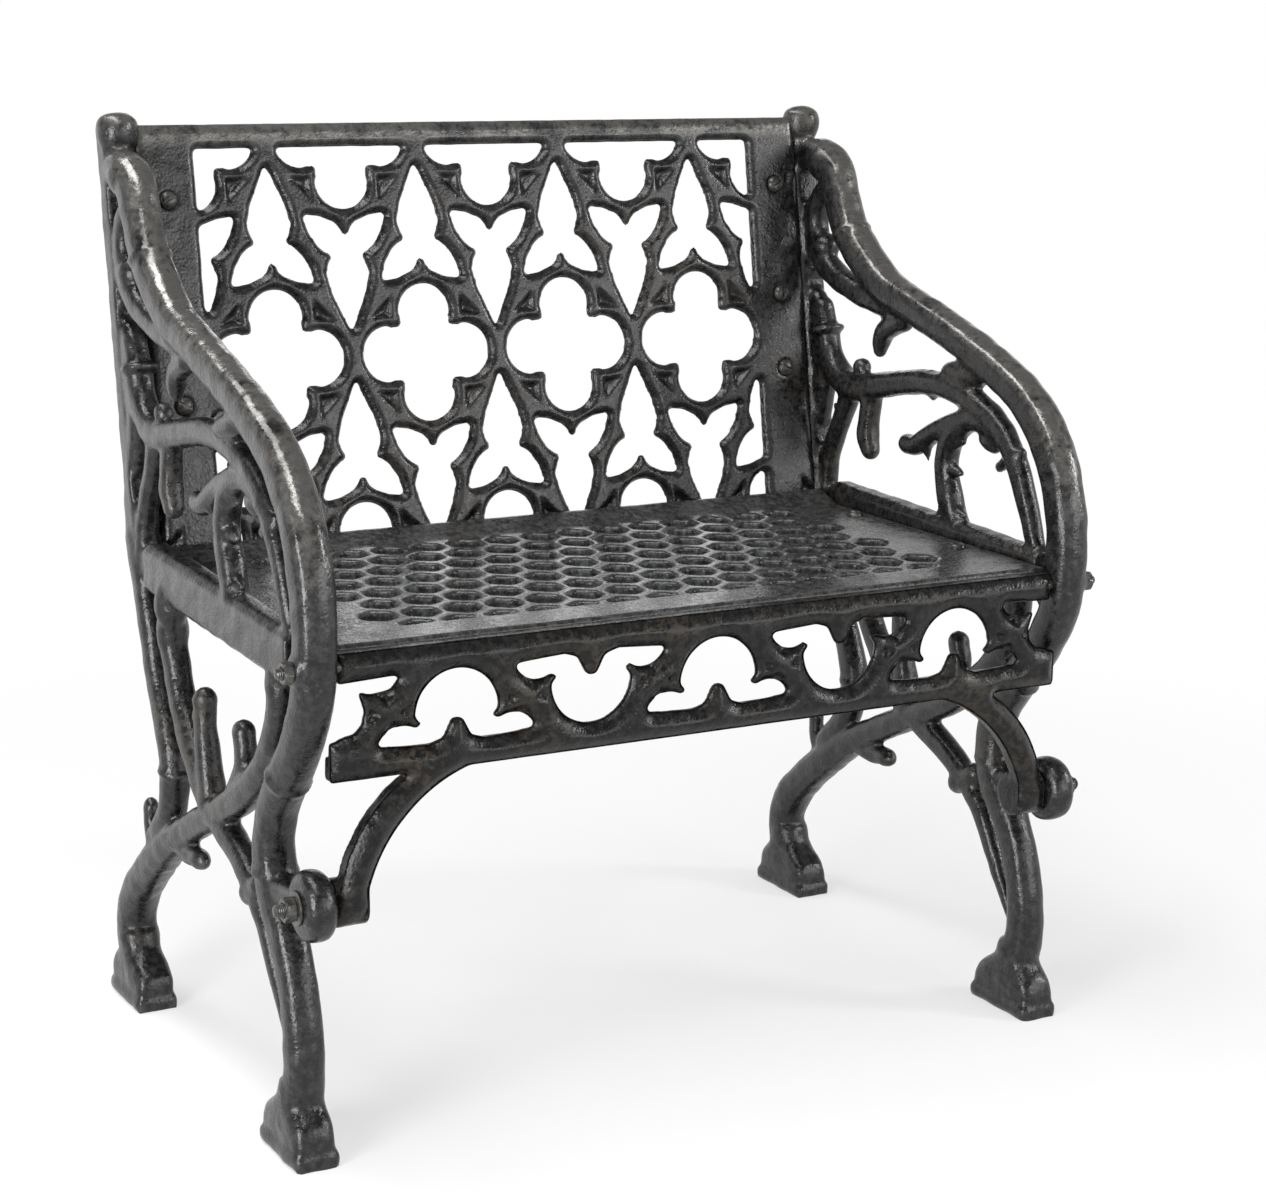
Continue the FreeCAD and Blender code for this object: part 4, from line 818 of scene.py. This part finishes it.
def crown(mesh, across, up, inward, reach, drop, curve):
    """Shapes the front of a plate: the nearer a point is to a hole or an edge, the further it sinks."""
    spots = points_of(mesh).astype(float)
    facing = -(normals_of(mesh) @ np.array(inward))
    flat = np.column_stack([spots @ np.array(across), spots @ np.array(up)])
    deep = spots @ np.array(inward)
    deep -= np.median(deep[facing > 0.95])
    near_front = (deep > -1.5 * MM) & (deep < CROWN_DEEP)
    walls = np.flatnonzero((np.abs(facing) < 0.45) & near_front)
    tree = KDTree(len(walls))
    for number, wall in enumerate(walls):
        tree.insert((flat[wall, 0], flat[wall, 1], 0), number)
    tree.balance()
    from_wall = np.full(len(spots), 1.0)
    for front in np.flatnonzero(near_front):
        from_wall[front] = tree.find((flat[front, 0], flat[front, 1], 0))[2]
    share = np.clip(1 - from_wall / reach, 0, 1)
    sink = drop * share ** curve * (1 - step_up(deep, 1.5 * MM, CROWN_DEEP))
    move_points(mesh, spots + np.array(inward) * sink[:, None])


crown(back.data, SIDE, UP_BACK, BEHIND, reach=6.5 * MM, drop=4.2 * MM, curve=1.3)
print("back crowned within 6.5 mm of its holes")

# %% [markdown]
# Beside each quatrefoil lie leaf-shaped sinkings, where the pattern maker's gouge went. Booleans could
# cut them, but it is simpler to press in the points that lie within a triangle: the skin stays whole, and
# the depth falls off towards the three sides by itself. They are six millimetres deep at most.

# %% Press the leaf sinkings into the back
def inside_triangle(u, v, corners, soft):
    """How far each point lies inside a triangle, from 0 at its edges to 1 at a soft distance in."""
    (ax, ay), (bx, by), (cx, cy) = corners
    if (bx - ax) * (cy - ay) - (by - ay) * (cx - ax) < 0:
        (bx, by), (cx, cy) = (cx, cy), (bx, by)
    depth = np.full(len(u), 1e9)
    for (px, py), (qx, qy) in (((ax, ay), (bx, by)), ((bx, by), (cx, cy)), ((cx, cy), (ax, ay))):
        length = math.hypot(qx - px, qy - py)
        depth = np.minimum(depth, ((qx - px) * (v - py) - (qy - py) * (u - px)) / length)
    return np.clip(depth / soft, 0, 1)


def panel_places(spots):
    """Across, up the slope, and in from the front face, in millimetres."""
    flat = spots / MM - np.array(PANEL_FOOT)
    return spots[:, 0] / MM, flat @ np.array(UP_BACK), flat @ np.array(BEHIND)


PANEL_HALF, STILE_WIDE, STILE_LAP, BAYS = 361.5, 59, 7, 4
PITCH = 2 * (PANEL_HALF - STILE_WIDE + STILE_LAP) / BAYS
FOIL_LEAF = ((36, 35), (60, 35), (36, 59))
HALF_FOIL_LEAF = ((34, 35), (59, 35), (34, 60))
HALF_FOIL_ROW = 15
LEAF_SOFT, LEAF_DEEP = 5.0, 6.0
spots = points_of(back.data).astype(float)
u, v, deep = panel_places(spots)
sunk = np.zeros(len(spots))
for bay in range(BAYS):
    middle_u = (bay - (BAYS - 1) / 2) * PITCH
    for sx in (1, -1):
        for sy in (1, -1):
            corners = [(middle_u + sx * a, PANEL_LENGTH / 2 + sy * b) for a, b in FOIL_LEAF]
            sunk = np.maximum(sunk, inside_triangle(u, v, corners, LEAF_SOFT))
for half_foil in range(BAYS + 1):
    middle_u = (half_foil - BAYS / 2) * PITCH
    for sx in (1, -1):
        for row, sy in ((PANEL_LENGTH - HALF_FOIL_ROW, -1), (HALF_FOIL_ROW, 1)):
            corners = [(middle_u + sx * a, row + sy * b) for a, b in HALF_FOIL_LEAF]
            sunk = np.maximum(sunk, inside_triangle(u, v, corners, LEAF_SOFT))
front_side = 1 - step_up(deep, 2.0, 6.0)
spots += np.array(BEHIND) * (sunk * front_side * LEAF_DEEP * MM)[:, None]
move_points(back.data, spots)
roughen(back.data, 0.45 * MM, 60)


def back_speckled(spots, ways):
    top = step_up(spots[:, 2], 0.82, 0.845)
    return 0.10 + 0.35 * top


def back_handled(spots, ways):
    return step_up(spots[:, 2], 0.825, 0.838) * 0.6


PLATE_BULGE = 110.0
mark_wear(back, back_handled, back_speckled, PLATE_BULGE)
back.data.shade_smooth()
finish_piece(back, worn_black_iron, "casting", "back_panel")

# %% [markdown]
# ## The seat
# The seat plate is pierced by rows of six-sided holes so that rain runs through. It is greyer and dustier
# than the rest, with bright and green specks on the edges of the holes; the lighter grey is also a painted
# sheen for the light that grazes its top.
# It is copied from its solid as the back was. Its rear edge turns up before the back, and a little more
# than in the solid, so the upper points near that edge are lifted.

# %% Seat plate
SEAT_VOXEL, SEAT_SOFTNESS, SEAT_BULGE = 2.5 * MM, 1, 120.0
LIFT_RUN, LIFT_HIGH, SEAT_MIDDLE = 36 * MM, 7 * MM, 0.445
seat = plate_copy("seat_grille", "honeycomb_seat", SEAT_VOXEL, SEAT_SOFTNESS)
seat_spots = points_of(seat.data).astype(float)
rear_edge = seat_spots[:, 1].max()
lift = np.clip((seat_spots[:, 1] - rear_edge + LIFT_RUN) / LIFT_RUN, 0, 1)
seat_spots[:, 2] += lift * LIFT_HIGH * (seat_spots[:, 2] > SEAT_MIDDLE)
move_points(seat.data, seat_spots)
roughen(seat.data, 0.4 * MM, 45)


def seat_handled(spots, ways):
    upward = step_up(ways[:, 2], 0.8, 1.0)
    return upward * 0.28


def seat_speckled(spots, ways):
    walls = 1 - step_up(np.abs(ways[:, 2]), 0.3, 0.9)
    return 0.15 + 0.6 * walls


mark_wear(seat, seat_handled, seat_speckled, SEAT_BULGE)
seat.data.shade_smooth()
finish_piece(seat, seat_dust_and_painted_sheen_finish, "casting", "seat_grille")

# %% [markdown]
# ## The apron
# The apron under the seat's front edge is a band of standing and hanging arches, carried on two curved
# brackets. Its bars are crowned more than the back's, so the skin is smoothed longer and the crown reaches
# further in. Where two arches meet, the pattern maker cut small three-cornered pockets, which are pressed
# in as the back's leaves were. Its finish is the browner one, and a darker copy that mirrors less: painted
# shade for the shadow under the seat.

# %% Apron
APRON_VOXEL, APRON_SOFTNESS = 2.2 * MM, 5
ARCH_PITCH, ARCH_MIDDLE_Z = 126, 395
POCKETS = (((-3, 6), (-13, 20), (6, 17)), ((3, -6), (13, -20), (-6, -17)),
           ((6, 1), (19, 7), (17, -8)), ((-6, -1), (-19, -7), (-17, 8)))
POCKET_SOFT, POCKET_DEEP = 2.6, 5.5 * MM
apron = plate_copy("front_apron", "arched_apron", APRON_VOXEL, APRON_SOFTNESS)
crown(apron.data, SIDE, UP, REARWARD, reach=13 * MM, drop=8 * MM, curve=1.6)
apron_spots = points_of(apron.data).astype(float)
apron_x, apron_z = apron_spots[:, 0] / MM, apron_spots[:, 2] / MM
pocket = np.zeros(len(apron_spots))
for meeting in range(-3, 3):
    middle_x = (meeting + 0.5) * ARCH_PITCH
    tip = 1 if meeting % 2 else -1
    for corners in POCKETS:
        placed = [(middle_x + tip * x, ARCH_MIDDLE_Z + z) for x, z in corners]
        pocket = np.maximum(pocket, inside_triangle(apron_x, apron_z, placed, POCKET_SOFT))
apron_front = np.median(apron_spots[normals_of(apron.data)[:, 1] < -0.9, 1])
front_share = 1 - step_up(apron_spots[:, 1] - apron_front, 3 * MM, 8 * MM)
apron_spots[:, 1] += pocket * POCKET_DEEP * front_share
move_points(apron.data, apron_spots)
roughen(apron.data, 0.5 * MM, 60)
mark_wear(apron, None, None, PLATE_BULGE)
apron.data.shade_smooth()
finish_piece(apron, apron_painted_shade_iron, "casting", "front_apron")

# %% [markdown]
# ## Nuts, bolts and screws
# Every fastener stays where its CAD solid is. A small function finds the loose solids of a node and
# measures each one along its own axis, so the detailed piece can be built upright and then laid in place.

# %% Find the fasteners in the frame
def solids_of(node):
    """The points of each loose solid of a node, in a fixed order."""
    welded = bmesh.new()
    welded.from_mesh(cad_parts[node].data)
    bmesh.ops.remove_doubles(welded, verts=welded.verts, dist=WELD_GAP)
    waiting = set(welded.verts)
    found = []
    while waiting:
        grown = {waiting.pop()}
        edge = list(grown)
        while edge:
            vert = edge.pop()
            for link in vert.link_edges:
                other = link.other_vert(vert)
                if other in waiting:
                    waiting.discard(other)
                    grown.add(other)
                    edge.append(other)
        found.append(np.array([tuple(vert.co) for vert in grown]))
    welded.free()
    return sorted(found, key=lambda cloud_of: tuple(cloud_of.mean(0).round(4)))


def laid_out(points, axis):
    """Where a solid starts along its axis, how long it is, and a matrix that stands on that start."""
    axis = Vector(axis).normalized()
    aside = Vector((1, 0, 0)) if abs(axis.x) < 0.5 else Vector((0, 0, 1))
    across = axis.cross(aside).normalized()
    aside = across.cross(axis).normalized()
    runs = [points @ np.array(way) for way in (aside, across, axis)]
    middle = [(run.min() + run.max()) / 2 for run in runs]
    start = aside * middle[0] + across * middle[1] + axis * runs[2].min()
    place = Matrix((aside, across, axis)).transposed().to_4x4()
    place.translation = start
    return place, runs[2].max() - runs[2].min()


print("back screws found:", len(solids_of("left_back_screws")))

# %% [markdown]
# Nuts are prisms whose corners were turned off on a lathe. A cylinder with six sides and a bevel comes
# close, but the turned corners of a real nut are curved. So each ring of the mesh takes the smaller of the
# flat-sided outline and a circle. A washer is a ring with a short profile turned round it.

# %% Shapes of nuts and washers
def add_rings(shape, rings, closed):
    """Joins rings of equal count, round to the first again if closed, and with caps if not."""
    loops = [[shape.verts.new(spot) for spot in ring] for ring in rings]
    pairs = list(zip(loops, loops[1:]))
    if closed:
        pairs.append((loops[-1], loops[0]))
    for low, high in pairs:
        for number in range(len(low)):
            other = (number + 1) % len(low)
            shape.faces.new((low[number], low[other], high[other], high[number]))
    if not closed:
        shape.faces.new(list(reversed(loops[0])))
        shape.faces.new(loops[-1])


def circle(radius, height, sides):
    angles = [2 * math.pi * n / sides for n in range(sides)]
    return [Vector((radius * math.cos(a), radius * math.sin(a), height)) for a in angles]


def nut_shape(flats, across_flats, tall, hole, turned):
    half = across_flats / 2
    corner = half / math.cos(math.pi / flats)
    sides = 12 * flats

    def outline(height, limit):
        ring = []
        for number in range(sides):
            a = 2 * math.pi * number / sides
            within = (a + math.pi / flats + turned) % (2 * math.pi / flats) - math.pi / flats
            radius = min(half / math.cos(within), limit)
            ring.append(Vector((radius * math.cos(a), radius * math.sin(a), height)))
        return ring

    shape = bmesh.new()
    turned_off = half * 1.01
    between = (turned_off + corner) / 2
    rings = [outline(0, turned_off), outline(tall * 0.07, between), outline(tall * 0.16, corner * 0.992),
             outline(tall * 0.84, corner * 0.992), outline(tall * 0.93, between), outline(tall, turned_off),
             circle(hole * 1.1, tall, sides), circle(hole, tall * 0.9, sides),
             circle(hole, tall * 0.1, sides), circle(hole * 1.1, 0, sides)]
    add_rings(shape, rings, True)
    return shape


def washer_shape(radius, tall, hole):
    shape = bmesh.new()
    sides = 48
    profile = [(hole, 0.15), (hole + 0.0004, 0), (radius - 0.0006, 0), (radius - 0.0001, 0.25), (radius, 0.6),
               (radius - 0.0004, 0.92), (radius - 0.0012, 1), (hole + 0.0006, 1), (hole, 0.85)]
    add_rings(shape, [circle(r, tall * share, sides) for r, share in profile], True)
    return shape


print("nut and washer shapes ready")

# %% [markdown]
# A thread could be a Screw modifier on a small profile. Here it is a stack of rings whose radius follows a
# saw-tooth that climbs one pitch per turn, because that ends cleanly in a plain shank.
# Screw heads are low domes with a slot cut by a boolean, as a saw cuts it in the real head.

# %% Shapes of studs and screws
THREAD_DEEP, SHANK_SMOOTH, SLOT_WIDE = 0.9 * MM, 0.15 * MM, 2.1 * MM


def stud_shape(radius, long, thread_from):
    shape = bmesh.new()
    sides = 32
    pitch = 1.75 * MM
    rings = [circle(radius * 0.72, 0, sides), circle(radius * 0.86, 0.0008, sides)]
    height = 0.0012
    while height < long - 0.0018:
        ring = []
        for number in range(sides):
            a = 2 * math.pi * number / sides
            phase = (height / pitch - number / sides) % 1
            depth = abs(2 * phase - 1) * THREAD_DEEP if height > thread_from else SHANK_SMOOTH
            ring.append(Vector(((radius - depth) * math.cos(a), (radius - depth) * math.sin(a), height)))
        rings.append(ring)
        height += pitch / 6 if height > thread_from else 3 * MM
    rings += [circle(radius * 0.84, long - 0.0016, sides), circle(radius * 0.7, long - 0.0005, sides),
              circle(radius * 0.45, long, sides)]
    add_rings(shape, rings, False)
    return shape


def screw_shape(head, head_tall, shank, long, slot_turn):
    """A slotted screw that stands on its head's top: the head comes first along the axis."""
    shape = bmesh.new()
    sides = 40
    dome = [(0.20, 0), (0.45, 0.06), (0.68, 0.2), (0.86, 0.45), (0.97, 0.75), (1.0, 0.98)]
    rings = [circle(head * r, head_tall * z, sides) for r, z in dome]
    rings += [circle(shank, head_tall, sides), circle(shank, long - 0.0008, sides),
              circle(shank * 0.7, long, sides)]
    add_rings(shape, rings, False)
    mesh = bpy.data.meshes.new("screw")
    shape.to_mesh(mesh)
    shape.free()
    slot = bmesh.new()
    bmesh.ops.create_cube(slot, size=1)
    bmesh.ops.transform(slot, verts=slot.verts, matrix=Matrix.Rotation(slot_turn, 4, "Z")
                        @ Matrix.Diagonal((head * 2.6, SLOT_WIDE, head_tall * 0.9, 1)))
    slot_mesh = bpy.data.meshes.new("slot")
    slot.to_mesh(slot_mesh)
    slot.free()
    body = link_mesh("screw", mesh)
    cutter = link_mesh("slot", slot_mesh)
    cut = body.modifiers.new("slot", "BOOLEAN")
    cut.operation = "DIFFERENCE"
    cut.solver = "EXACT"
    cut.object = cutter
    settled(body)
    shape = bmesh.new()
    shape.from_mesh(body.data)
    bpy.data.objects.remove(body)
    bpy.data.objects.remove(cutter)
    return shape


print("stud and screw shapes ready")

# %% [markdown]
# Each node of fasteners becomes one piece: its shapes are laid in place, joined, and given a fine bevel,
# since no edge of an old bolt is sharp. Weather reaches a bolt evenly, so wear and specks are the same
# all over it.

# %% Lay the fasteners in place
EVEN_WEAR, EVEN_SPECKS, BOLT_BULGE = 0.35, 0.6, 400.0


def fastener(name, node, shapes):
    """Joins placed shapes into one piece that stands for the node."""
    whole = bmesh.new()
    for place, shape in shapes:
        bmesh.ops.transform(shape, matrix=place, verts=shape.verts)
        bmesh.ops.recalc_face_normals(shape, faces=shape.faces)
        part = bpy.data.meshes.new("part")
        shape.to_mesh(part)
        shape.free()
        whole.from_mesh(part)
        bpy.data.meshes.remove(part)
    mesh = bpy.data.meshes.new(name)
    whole.to_mesh(mesh)
    whole.free()
    piece = link_mesh(name, mesh)
    edge = piece.modifiers.new("worn_edges", "BEVEL")
    edge.width = 0.25 * MM
    edge.segments = 2
    edge.limit_method = "ANGLE"
    edge.angle_limit = math.radians(40)
    settled(piece)
    piece.data.shade_smooth()
    piece.data.set_sharp_from_angle(angle=math.radians(35))
    mark_wear(piece, lambda spots, ways: np.full(len(spots), EVEN_WEAR),
              lambda spots, ways: np.full(len(spots), EVEN_SPECKS), BOLT_BULGE)
    finish_piece(piece, bolt_iron, "fastener", node)


WASHER_RADIUS, WASHER_HOLE = 0.0150, 0.0064
BIG_STUD, BIG_THREAD, BIG_FLATS, BIG_HOLE = 0.0060, 0.030, 0.0190, 0.0063
SMALL_STUD, SMALL_THREAD, SMALL_FLATS, SMALL_HOLE = 0.0050, 0.020, 0.0170, 0.0053
HEAD_RADIUS, HEAD_TALL, SHANK_RADIUS = 0.0085, 0.0050, 0.0040
SQUARE_FLATS, SQUARE_HOLE = 0.0138, 0.0043
for side, out in (("left", -1), ("right", 1)):
    outward = (out, 0, 0)
    place, tall = laid_out(solids_of(f"{side}_brace_washer")[0], outward)
    shape = washer_shape(WASHER_RADIUS, tall, WASHER_HOLE)
    fastener(f"{side}_washer", f"{side}_brace_washer", [(place, shape)])
    place, tall = laid_out(solids_of(f"{side}_brace_nut")[0], outward)
    shape = nut_shape(6, BIG_FLATS, tall, BIG_HOLE, 0.3)
    fastener(f"{side}_big_nut", f"{side}_brace_nut", [(place, shape)])
    place, long = laid_out(solids_of(f"{side}_brace_stud")[0], outward)
    shape = stud_shape(BIG_STUD, long, long - BIG_THREAD)
    fastener(f"{side}_big_stud", f"{side}_brace_stud", [(place, shape)])
    place, tall = laid_out(solids_of(f"{side}_rail_nut")[0], outward)
    shape = nut_shape(6, SMALL_FLATS, tall, SMALL_HOLE, 0.1)
    fastener(f"{side}_small_nut", f"{side}_rail_nut", [(place, shape)])
    place, long = laid_out(solids_of(f"{side}_rail_stud")[0], outward)
    shape = stud_shape(SMALL_STUD, long, long - SMALL_THREAD)
    fastener(f"{side}_small_stud", f"{side}_rail_stud", [(place, shape)])
    for group, axis in (("back", BEHIND), ("seat", Vector((0, 0, -1)))):
        screws = []
        for number, points in enumerate(solids_of(f"{side}_{group}_screws")):
            place, long = laid_out(points, axis)
            slot_turn = 0.5 + 1.1 * number
            screws.append((place, screw_shape(HEAD_RADIUS, HEAD_TALL, SHANK_RADIUS, long, slot_turn)))
        fastener(f"{side}_{group}_slotted_screws", f"{side}_{group}_screws", screws)
        nuts = []
        for points in solids_of(f"{side}_{group}_nuts"):
            place, tall = laid_out(points, axis)
            nuts.append((place, nut_shape(4, SQUARE_FLATS, tall, SQUARE_HOLE, 0.0)))
        fastener(f"{side}_{group}_square_nuts", f"{side}_{group}_nuts", nuts)

# %% [markdown]
# ## Floor and light
# The bench stands on plain pale paper, with more of the same paper in a round wall far behind it.
# A bright world would also give a white picture, but black iron would mirror it everywhere and turn grey.
# So the paper is white only to the camera and to mirror and see-through rays, and throws no more light on
# the bench than paper does. Close to the bench part of it stays plain paper, so that the shadow shows.

# %% Floor
FLOOR_HALF = 14
PAPER_COLOUR = (0.86, 0.86, 0.86, 1)
FADE_FROM, FADE_TO, GLOW_NEAR, GLOW_MORE = 0.5, 1.7, 0.55, 0.45
floor_mesh = bpy.data.meshes.new("pale_floor")
floor_shape = bmesh.new()
bmesh.ops.create_grid(floor_shape, x_segments=8, y_segments=8, size=FLOOR_HALF)
floor_shape.to_mesh(floor_mesh)
floor_shape.free()
floor = link_mesh("pale_floor", floor_mesh)
paper = bpy.data.materials.new("pale_paper")
paper.use_nodes = True
paper_tree = paper.node_tree
paper_tree.nodes.clear()
paper_out = paper_tree.nodes.new("ShaderNodeOutputMaterial")
paper_matte = paper_tree.nodes.new("ShaderNodeBsdfDiffuse")
paper_matte.inputs["Color"].default_value = PAPER_COLOUR
paper_glow = paper_tree.nodes.new("ShaderNodeEmission")
paper_glow.inputs["Color"].default_value = (1, 1, 1, 1)
paper_glow.inputs["Strength"].default_value = 1.0
paper_mix = paper_tree.nodes.new("ShaderNodeMixShader")
paper_path = paper_tree.nodes.new("ShaderNodeLightPath")
seen = combine(paper_tree, "ADD", paper_path.outputs["Is Camera Ray"], paper_path.outputs["Is Glossy Ray"])
seen = combine(paper_tree, "ADD", seen, paper_path.outputs["Is Transmission Ray"])
paper_place = paper_tree.nodes.new("ShaderNodeTexCoord")
paper_far = paper_tree.nodes.new("ShaderNodeVectorMath")
paper_far.operation = "LENGTH"
paper_tree.links.new(paper_place.outputs["Object"], paper_far.inputs[0])
fade = spread(paper_tree, paper_far.outputs["Value"], FADE_FROM, FADE_TO)
share = combine(paper_tree, "ADD", combine(paper_tree, "MULTIPLY", fade, GLOW_MORE), GLOW_NEAR)
paper_tree.links.new(combine(paper_tree, "MULTIPLY", seen, share), paper_mix.inputs[0])
paper_tree.links.new(paper_matte.outputs[0], paper_mix.inputs[1])
paper_tree.links.new(paper_glow.outputs[0], paper_mix.inputs[2])
paper_tree.links.new(paper_mix.outputs[0], paper_out.inputs["Surface"])
floor.data.materials.append(paper)
print("floor is", 2 * FLOOR_HALF, "m wide")

# %% [markdown]
# The wall closes all the way round, so that the picture is white from every side.

# %% Round backdrop
WALL_FAR, WALL_HIGH, WALL_STEPS = 12.0, 5.5, 72
wall_shape = bmesh.new()
posts = []
for number in range(WALL_STEPS):
    a = 2 * math.pi * number / WALL_STEPS
    posts.append([wall_shape.verts.new((WALL_FAR * math.cos(a), WALL_FAR * math.sin(a), z))
                  for z in (0, WALL_HIGH)])
for here, there in zip(posts, posts[1:] + posts[:1]):
    wall_shape.faces.new((there[0], here[0], here[1], there[1]))
wall_mesh = bpy.data.meshes.new("round_backdrop")
wall_shape.to_mesh(wall_mesh)
wall_shape.free()
wall = link_mesh("round_backdrop", wall_mesh)
wall.data.materials.append(paper)
print("backdrop stands", WALL_FAR, "m away")

# %% [markdown]
# Iron shows its form by what it mirrors, so the light comes from six soft sheets: a tall one on the left,
# a long one above, a wide one in front on the right, a narrow one on the right, and two weak ones behind.
# Small lamps would leave hard dots on the branches instead of long streaks.
# The room above the paper wall is dim, so the iron mirrors dark there and stays black.

# %% Dim room and lamps
ROOM_STRENGTH = 0.3
world = bpy.data.worlds.new("studio")
bpy.context.scene.world = world
world.use_nodes = True
room = next(n for n in world.node_tree.nodes if n.type == "BACKGROUND")
room.inputs["Color"].default_value = (1, 1, 1, 1)
room.inputs["Strength"].default_value = ROOM_STRENGTH


def soft_sheet(name, spot, aim, width, height, power, along=(0, 0, 1)):
    """A lamp whose height runs along the given way as nearly as its aim allows."""
    lamp = bpy.data.lights.new(name, "AREA")
    lamp.shape = "RECTANGLE"
    lamp.size = width
    lamp.size_y = height
    lamp.energy = power
    holder = bpy.data.objects.new(name, lamp)
    holder.location = spot
    holder.visible_camera = False
    out = (Vector(spot) - Vector(aim)).normalized()
    across = Vector(along).cross(out).normalized()
    holder.rotation_euler = Matrix((across, out.cross(across), out)).transposed().to_euler()
    bpy.context.scene.collection.objects.link(holder)


soft_sheet("sheet_left", (-2.0, -1.05, 0.65), (-0.2, 0, 0.5), 0.8, 1.3, 44)
soft_sheet("sheet_left_rear", (-1.35, 1.5, 0.5), (-0.35, 0, 0.4), 1.5, 1.0, 3)
soft_sheet("sheet_above", (-0.8, 0.0, 2.75), (-0.1, 0, 0.4), 0.7, 3.4, 66, (0, 1, 0))
soft_sheet("sheet_front", (1.5, -3.0, 0.95), (0, 0, 0.55), 1.8, 1.2, 30)
soft_sheet("sheet_right", (2.4, -1.6, 1.6), (0, 0, 0.5), 0.4, 0.9, 30)
soft_sheet("sheet_behind", (1.3, 2.6, 1.5), (0, 0.1, 0.5), 1.0, 1.2, 5)
